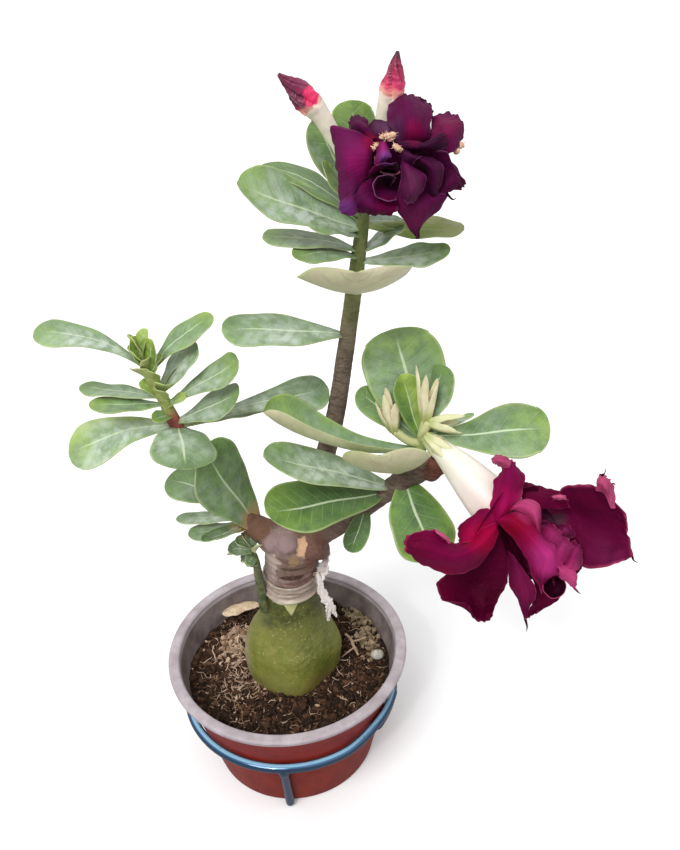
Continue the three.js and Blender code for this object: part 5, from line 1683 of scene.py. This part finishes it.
TOP_PETALS = [
    ((0.25, 0.55, 0.35, 0.7, 0.2), [[480, 560, 2, 460, 700, 4, 450, 900, 2],
     [400, 490, 3, 390, 700, 9, 370, 940, 6], [250, 440, 4, 240, 720, 12, 270, 1070, 8],
     [120, 395, 2, 150, 740, 8, 195, 1140, 6], [65, 405, -1, 118, 760, 4, 152, 1160, 3],
     [75, 450, -4, 115, 800, 0, 148, 1110, 0]]),
    ((0.1, 0.4, 0.6, 0.5, 1), [[340, 980, 5, 320, 1080, 6, 320, 1200, 5],
     [255, 1060, 7, 245, 1150, 9, 290, 1275, 7], [150, 1165, 6, 140, 1225, 7, 195, 1280, 6]]),
    ((0.6, 0.3, 0.5, 0.5, 0.3), [[430, 560, 1, 460, 540, 2, 500, 520, 1],
     [300, 460, 0, 350, 400, 4, 440, 430, 0], [240, 430, -2, 300, 340, 1, 425, 370, -2],
     [235, 370, -4, 285, 300, -3, 380, 305, -4]]),
    ((0.45, 0.1, 0.4, 0.4, 0.7), [[540, 560, -1, 620, 560, 0, 700, 560, -1],
     [480, 450, -2, 590, 430, 1, 705, 450, -2], [470, 385, -4, 580, 365, -3, 700, 380, -4]]),
    ((0.35, 0.35, 0.25, 0.6, 0.25), [[720, 600, 1, 850, 610, 2, 960, 590, 1],
     [680, 490, 2, 850, 480, 7, 1024, 505, 3], [622, 380, 0, 850, 350, 8, 1040, 370, 2],
     [610, 240, -3, 830, 230, 5, 1048, 240, -2], [640, 150, -6, 800, 140, 1, 1000, 165, -5],
     [720, 103, -8, 810, 90, -4, 920, 118, -8]]),
    ((1, 0, 0.7, 0.9, 0.2), [[930, 110, -5, 955, 150, -4, 975, 210, -4],
     [995, 160, -6, 1010, 230, -5, 1010, 310, -5], [1040, 185, -6, 1056, 260, -6, 1056, 340, -6]]),
    ((0.25, 0.45, 0.5, 0.7, 0.1), [[940, 560, 0, 1000, 630, 2, 1050, 720, 1],
     [1030, 450, -1, 1150, 520, 6, 1210, 680, 3], [1042, 340, -3, 1240, 420, 5, 1314, 600, 0],
     [1110, 290, -5, 1320, 370, 0, 1347, 520, -3], [1190, 260, -8, 1300, 300, -5, 1362, 400, -6]]),
    ((1, 0.05, 0.35, 0.5, 0.2), [[700, 555, 6, 720, 610, 7, 760, 660, 5],
     [850, 550, 8, 880, 610, 10, 900, 660, 7], [960, 560, 9, 1010, 600, 11, 1050, 650, 7],
     [1100, 490, 8, 1130, 540, 9, 1160, 630, 6], [1215, 440, 4, 1240, 500, 4, 1235, 600, 3]]),
    ((0.9, 0.1, 0.35, 0.7, 0.05), [[820, 700, 3, 850, 800, 1, 880, 900, 1],
     [1000, 650, 6, 1020, 850, 0, 1000, 1030, 3], [1190, 650, 6, 1190, 850, 3, 1130, 1080, 4],
     [1260, 780, 2, 1290, 900, 4, 1240, 1045, 2], [1385, 940, -1, 1370, 985, -1, 1335, 1020, -1]]),
    ((0.45, 0.3, 0.25, 0.7, 0.35), [[720, 1000, 3, 850, 1000, 4, 980, 980, 3],
     [690, 1170, 3, 900, 1170, 7, 1200, 1050, 3], [745, 1290, 1, 930, 1280, 5, 1140, 1190, 1],
     [850, 1430, -1, 905, 1400, 2, 965, 1370, -1], [895, 1490, -3, 912, 1500, -3, 925, 1490, -3]]),
    ((0.6, 0.3, 0.4, 0.5, 0.2), [[480, 900, 3, 600, 1000, 1, 700, 1050, 2],
     [330, 980, 6, 480, 1080, 8, 705, 1150, 5], [262, 1100, 5, 450, 1200, 9, 710, 1225, 5],
     [290, 1245, 3, 450, 1272, 5, 650, 1275, 3]]),
    ((1, 0, 0.2, 0.3, 0.2), [[640, 920, -4, 645, 900, -5, 650, 880, -5],
     [455, 930, 0, 560, 840, -3, 720, 830, -1], [440, 880, 7, 560, 800, 6, 720, 790, 5],
     [430, 850, 10, 515, 785, 12, 705, 752, 9]]),
    ((1, 0, 1, 0.2, 0.35), [
     [640, 990, -3, 615, 985, -3, 600, 990, -3, 590, 1000, -3, 600, 1010, -3, 615, 1015, -3, 640, 1010, -3],
     [690, 930, 0, 610, 900, 1, 535, 925, 1, 505, 1000, 2, 535, 1070, 2, 610, 1100, 2, 690, 1085, 1],
     [700, 905, 7, 600, 880, 10, 500, 905, 11, 470, 985, 12, 500, 1090, 12, 600, 1135, 11, 705, 1120, 8]]),
    ((0.35, 0.35, 0.9, 0.4, 0.45), [[760, 720, 3, 800, 700, 4, 860, 740, 3],
     [745, 800, 8, 800, 800, 12, 860, 800, 9], [740, 900, 9, 850, 950, 16, 985, 890, 9],
     [735, 1030, 9, 850, 1060, 16, 965, 1030, 9], [770, 1140, 8, 820, 1168, 11, 890, 1120, 8]]),
    ((0, 0.5, 0.5, 0.3, 1), [[540, 560, 6, 580, 555, 7, 615, 600, 6],
     [500, 680, 7, 570, 680, 11, 650, 690, 8], [480, 785, 6, 540, 772, 8, 620, 740, 6]]),
    ((0.85, 0.1, 0.6, 0.4, 0.2), [[760, 700, 3, 850, 690, 6, 930, 700, 3],
     [880, 760, 6, 960, 740, 11, 1060, 720, 7], [1000, 860, 6, 1060, 840, 12, 1150, 800, 8],
     [1010, 1030, 5, 1060, 1030, 9, 1130, 1000, 6], [1040, 1095, 4, 1055, 1100, 4, 1070, 1095, 4]]),
    ((0.9, 0.05, 0.8, 0.3, 0.5), [[740, 690, 7, 760, 650, 9, 800, 640, 7],
     [780, 760, 9, 830, 700, 13, 880, 690, 9], [850, 790, 9, 900, 730, 12, 950, 700, 9]]),
]
flower(
    "top", "top_flower", TOP_PETALS, TOP_SHEET, TOP_AXIS,
    [(48.7, -2.2, 296.2), (51, -4.5, 302), (53.2, -7.2, 306.8), (54.4, -9.2, 309.4)], [1.9, 2.8, 3.8, 5.4],
    1.0, [((895, 1490, -3), (925, 1505, -4)), ((1190, 1060, 3), (1290, 1105, 0))], 300,
    [(0.3, 0.3, 0), (5.4, 0.5, 0), (9.5, 0, 0.06), (13.5, -2.0, 0.12)]
)
tufts = []
for number, (*drawn_at, size) in enumerate((
    (560, 510, 8, 0.9), (610, 500, 9, 1.1), (660, 490, 9, 1.1), (640, 530, 8, 0.9), (690, 600, 9, 0.9),
    (715, 620, 9, 1.0), (740, 640, 8, 0.8), (480, 620, 9, 0.6), (500, 590, 9, 0.7), (1325, 590, -1, 1.3),
    (1290, 650, 0, 1.1)
)):
    x, y, z = lifted(drawn_at, TOP_SHEET)
    grain = ball(14, 20, 0.1)
    spiky = 1 + 0.45 * ripples(grain * 3, 1.3, 60 + number)
    tufts.append(closed_rings(grain * [1.15, 0.8, 0.95] * size * spiky[..., None] + [x, y, z]))
    for strand in range(4):
        lean = unit(np.random.default_rng(700 + 9 * number + strand).normal(size=3) * [1, 0.4, 1])
        tufts.append(
            hair((x, y, z), np.array([x, y, z]) + lean * size * 2.1, 0.22, 800 + 9 * number + strand, 0.25)
        )
anthers = make_piece("top_anthers", gather(tufts), anther_material)
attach(anthers, "root")


# ---------------------------------------------------------------- side flower
# The largest flower, crimson to magenta. A long cream funnel leaves the shoot and widens to the right.
# Five long outer petals fold back from its mouth, and ruffled inner ones stand out along its axis.

SIDE_AXIS = np.array([0.523, -0.844, -0.121])
SIDE_PETALS = [
    ((0.3, 0.75, 0.5, 0.9), [[632, 518, 12, 660, 522, 14, 700, 500, 12],
     [610, 430, 12, 690, 440, 16, 780, 420, 13], [622, 340, 12, 715, 340, 17, 815, 330, 12],
     [640, 255, 12, 735, 245, 18, 835, 255, 12], [675, 200, 13, 740, 180, 17, 803, 195, 12],
     [700, 150, 12, 730, 125, 14, 765, 140, 11]]),
    ((0, 1, 0.6, 0.7, 0, 0.55), [[745, 135, 15, 735, 165, 17, 720, 205, 14],
     [690, 96, 15, 690, 140, 19, 680, 170, 14], [640, 100, 13, 640, 130, 17, 640, 160, 13],
     [618, 115, 11, 620, 128, 12, 626, 140, 11]]),
    ((0.45, 0.45, 0.2, 0.8), [[660, 450, 12, 662, 500, 13, 662, 545, 12],
     [590, 438, 11, 580, 500, 12, 590, 570, 12], [537, 450, 9, 500, 520, 11, 510, 640, 13],
     [455, 508, 7, 440, 560, 9, 440, 665, 14], [402, 560, 6, 405, 600, 8, 405, 668, 12]]),
    ((0.4, 0.45, 0.6, 1.1), [[648, 522, 13, 655, 560, 14, 664, 600, 12],
     [575, 560, 13, 580, 640, 17, 620, 700, 11], [490, 625, 10, 490, 710, 19, 545, 790, 9],
     [400, 660, 12, 390, 740, 21, 440, 858, 14], [325, 630, 15, 290, 720, 22, 300, 850, 15],
     [250, 572, 18, 180, 690, 23, 190, 806, 17], [160, 590, 19, 110, 680, 22, 110, 755, 18],
     [68, 612, 19, 58, 665, 20, 68, 720, 19]]),
    ((0, 0.7, 0.8, 0.6, 0, 0.75), [[252, 570, 18, 262, 588, 21, 282, 606, 18],
     [300, 596, 18, 312, 618, 20, 322, 642, 18], [346, 626, 17, 353, 645, 18, 357, 664, 17]]),
    ((0.85, 0.15, 0.15, 1.1), [[600, 610, 5, 655, 620, 4, 700, 620, 4],
     [520, 760, 2, 620, 780, -1, 728, 760, 2], [330, 862, 6, 520, 900, -4, 722, 890, 0],
     [275, 900, 8, 480, 960, -4, 700, 955, 0], [275, 960, 8, 500, 1030, -3, 665, 1010, 0],
     [300, 1018, 7, 520, 1090, -1, 640, 1070, 1], [440, 1045, 5, 530, 1140, 2, 625, 1125, 2],
     [500, 1140, 4, 555, 1163, 3, 610, 1150, 2]]),
    ((0.6, 0.25, 0.6, 0.5, 0.2), [[715, 700, 3, 735, 715, 5, 755, 735, 6],
     [728, 800, 3, 770, 820, 7, 820, 825, 8], [730, 915, 3, 800, 930, 8, 895, 935, 9],
     [775, 1000, 4, 830, 1020, 8, 900, 1005, 8], [805, 1075, 5, 830, 1090, 6, 860, 1070, 6],
     [828, 1150, 5, 836, 1152, 6, 845, 1140, 6]]),
    ((0.9, 0.2, 0.3, 0.9), [[860, 840, 3, 900, 870, 4, 960, 880, 4],
     [900, 960, 3, 950, 960, 1, 1090, 920, 2], [880, 1040, 4, 960, 1030, 1, 1060, 1000, 1],
     [850, 1090, 5, 920, 1075, 2, 1010, 1050, 1], [843, 1145, 6, 880, 1120, 4, 920, 1095, 3]]),
    ((0.5, 0.25, 0.55, 1.1, 0.1), [[960, 430, 0, 1010, 500, -8, 1060, 600, -8],
     [1040, 350, 3, 1100, 480, -8, 1140, 640, -8], [1100, 290, 5, 1170, 480, -9, 1195, 740, -6],
     [1190, 288, 7, 1270, 540, -7, 1200, 815, -3], [1300, 300, 8, 1380, 560, -4, 1330, 815, 0],
     [1410, 400, 5, 1455, 570, -1, 1440, 785, 2], [1480, 470, 3, 1495, 610, 1, 1525, 745, 2]]),
    ((0, 0.9, 0.9, 1, 0, 0.55), [[1285, 325, 9, 1340, 345, 11, 1380, 435, 8],
     [1290, 275, 11, 1345, 300, 14, 1412, 425, 8], [1300, 238, 11, 1350, 262, 13, 1398, 300, 9],
     [1325, 222, 10, 1355, 240, 10, 1380, 272, 9]]),
    ((0.6, 0.25, 0.2, 0.9), [[790, 330, 3, 790, 400, 6, 800, 450, 7],
     [838, 268, 3, 860, 360, 6, 880, 450, 5], [900, 290, 0, 940, 370, 3, 960, 440, 2],
     [1000, 310, -2, 1040, 380, 1, 1070, 440, -1], [1085, 340, -3, 1105, 380, -1, 1120, 435, -3]]),
    ((0, 0.7, 1, 0.3, 0, 0.9), [[1000, 360, 4, 1010, 370, 6, 1020, 384, 4],
     [1040, 348, 5, 1050, 365, 7, 1060, 385, 5], [1086, 350, 4, 1094, 362, 5, 1098, 380, 4]]),
    ((0.05, 0.85, 0.3, 0.6), [[650, 518, 14, 672, 503, 16, 702, 480, 15],
     [715, 585, 14, 760, 520, 19, 805, 455, 15], [788, 675, 14, 850, 600, 21, 892, 530, 15],
     [840, 760, 14, 920, 690, 23, 950, 620, 17], [870, 850, 15, 980, 760, 25, 1040, 700, 20],
     [905, 910, 16, 960, 850, 22, 1075, 830, 20], [942, 985, 15, 950, 930, 17, 962, 880, 18]]),
    ((0, 0.9, 0.5, 0.5, 0, 0.25), [[1020, 800, 20, 1050, 830, 23, 1050, 880, 20],
     [1100, 805, 19, 1110, 860, 22, 1095, 908, 19], [1155, 840, 17, 1150, 890, 20, 1128, 938, 18],
     [1162, 890, 16, 1157, 930, 17, 1150, 958, 17]]),
    ((0.1, 0.9, 0.6, 0.4, 0.2, 0.2), [[735, 448, 17, 758, 424, 18, 785, 398, 16],
     [800, 455, 17, 830, 420, 19, 852, 375, 15], [860, 510, 14, 890, 470, 18, 920, 410, 13],
     [900, 580, 14, 915, 560, 17, 938, 520, 13], [925, 650, 14, 932, 655, 15, 940, 645, 14]]),
    ((0.25, 0.9, 1, 0.5, 0.15, 0), [[925, 700, 14, 965, 690, 16, 1010, 700, 15],
     [925, 610, 13, 985, 620, 20, 1062, 700, 17], [940, 548, 10, 1010, 580, 19, 1082, 665, 16],
     [985, 538, 6, 1045, 568, 12, 1095, 640, 12]]),
    ((0.3, 0.8, 1, 0.5, 0.2, 0), [[985, 790, 18, 1035, 775, 21, 1085, 790, 18],
     [1005, 700, 17, 1065, 705, 22, 1122, 770, 18], [1040, 640, 13, 1092, 672, 20, 1150, 770, 16],
     [1080, 612, 10, 1128, 660, 15, 1170, 745, 13]]),
    ((0.4, 0.6, 1, 0.5, 0.3, 0), [[1060, 835, 17, 1110, 820, 20, 1145, 840, 17],
     [1090, 730, 15, 1145, 745, 20, 1178, 820, 15], [1115, 665, 11, 1172, 700, 17, 1200, 778, 13],
     [1150, 645, 8, 1185, 682, 12, 1200, 740, 10]]),
    ((0.5, 0.3, 1, 0.5, 0.4), [[1010, 620, 8, 1060, 612, 11, 1100, 640, 8],
     [1040, 560, 5, 1090, 570, 13, 1135, 622, 7], [1070, 538, 3, 1118, 558, 8, 1158, 615, 4]]),
    ((0.9, 0.1, 0.2, 0.5, 0.2), [[840, 500, 2, 840, 700, 2, 850, 860, 4],
     [990, 520, -2, 1010, 700, 3, 980, 890, 4], [1120, 590, -3, 1150, 720, 2, 1120, 880, 4],
     [1190, 680, -4, 1200, 760, -1, 1185, 845, 1]]),
    ((1, 0, 0.9, 0.2, 0.2), [curl(1020, 940, 8, 8, 4), curl(1020, 940, 60, 62, 7),
     curl(1020, 936, 76, 74, 18)]),
    ((1, 0, 0, 0.3), [[655, 540, 6, 690, 535, 4, 720, 545, 7], [690, 660, 5, 740, 640, 2, 790, 650, 8],
     [745, 790, 4, 800, 770, 2, 860, 800, 10], [850, 900, 5, 880, 890, 3, 900, 890, 10]]),
    ((1, 0, 0.1, 0.3, 0.3), [[905, 425, -2, 925, 500, -5, 935, 570, -5],
     [985, 425, -6, 1005, 490, -9, 1010, 570, -9], [1075, 430, -8, 1105, 500, -11, 1100, 600, -11]]),
]
flower(
    "side", "side_flower", SIDE_PETALS, SIDE_SHEET, SIDE_AXIS,
    [(68.5, -15, 195.5), (73, -18.5, 193), (80, -23.5, 187), (88.5, -30, 179), (97, -37, 171)],
    [2.6, 4.2, 6.6, 9.0, 10.5], 0.0,
    [
        ((835, 1150, 6), (840, 1225, 4)), ((1520, 750, 2), (1558, 788, 0)),
        ((1150, 950, 17), (1188, 985, 16)), ((1310, 225, 10), (1352, 175, 12)),
        ((1382, 285, 9), (1412, 292, 8))
    ],
    500, [(0.3, -1.0, 0), (9.8, 0.6, 0), (13.5, 2.0, 0.05), (16.5, 3.0, 0.1)]
)


# ---------------------------------------------------------------- floor, light and camera
# A pale floor under a pale dome, a broad soft sun from above the camera's left with a small bright
# core, a weak fill from the right, and a camera in front of the plant that looks down at 32 degrees.

bpy.ops.mesh.primitive_plane_add(size=40.0, location=(0, 0, -0.0002))
floor = bpy.context.object
floor.name = "studio_floor"
floor_material, shader, place = new_material("pale_floor", Roughness=0.9, Specular_IOR_Level=0.1)
# White to the camera, and a dimmer ground for the light.
seen = node(place.tree, "LightPath", "Is Camera Ray")
feed(shader.inputs["Base Color"], mix(seen, (0.42, 0.42, 0.42), (0.93, 0.93, 0.93)))
floor.data.materials.append(floor_material)

world = bpy.data.worlds.new("studio")
world.use_nodes = True
sky = world.node_tree
height = split(node(sky, "TexCoord", "Generated"))[2]
feed(sky.nodes["Background"].inputs["Color"],
     mix(step(height, -0.1, 0.9), (0.46, 0.46, 0.48), (1.0, 1.0, 1.0)))
sky.nodes["Background"].inputs["Strength"].default_value = 1.0
bpy.context.scene.world = world
bpy.context.scene.view_settings.view_transform = "Standard"


def sun(name, heading, rise, strength, spread):
    """A distant light that comes from a heading and a rise, in degrees, with a soft edge."""
    lamp = bpy.data.lights.new(name, "SUN")
    lamp.energy, lamp.angle = strength, math.radians(spread)
    held = bpy.data.objects.new(name, lamp)
    bpy.context.scene.collection.objects.link(held)
    away = towards(heading, rise)
    across = unit(np.cross([0, 0, 1.0], away))
    held.matrix_world = Matrix(
        [[*row] for row in np.column_stack([across, np.cross(away, across), away])]
    ).to_4x4()


sun("key_sun", -120, 50, 1.72, 28)
sun("core_sun", -112, 46, 0.3, 3.0)
sun("fill_sun", -45, 32, 0.35, 60)

camera_data = bpy.data.cameras.new("photo_camera")
camera = bpy.data.objects.new("photo_camera", camera_data)
bpy.context.scene.collection.objects.link(camera)
SENSOR, FOCAL_LENGTH, TALL = 36.0, 900, 850  # the last two in the same measure
camera_data.sensor_width, camera_data.lens = SENSOR, SENSOR * FOCAL_LENGTH / TALL
turned = Matrix([[*row] for row in np.column_stack([RIGHT, UPWARD, -FORWARD])]).to_4x4()
camera.matrix_world = Matrix.Translation(EYE * MM) @ turned
bpy.context.scene.camera = camera
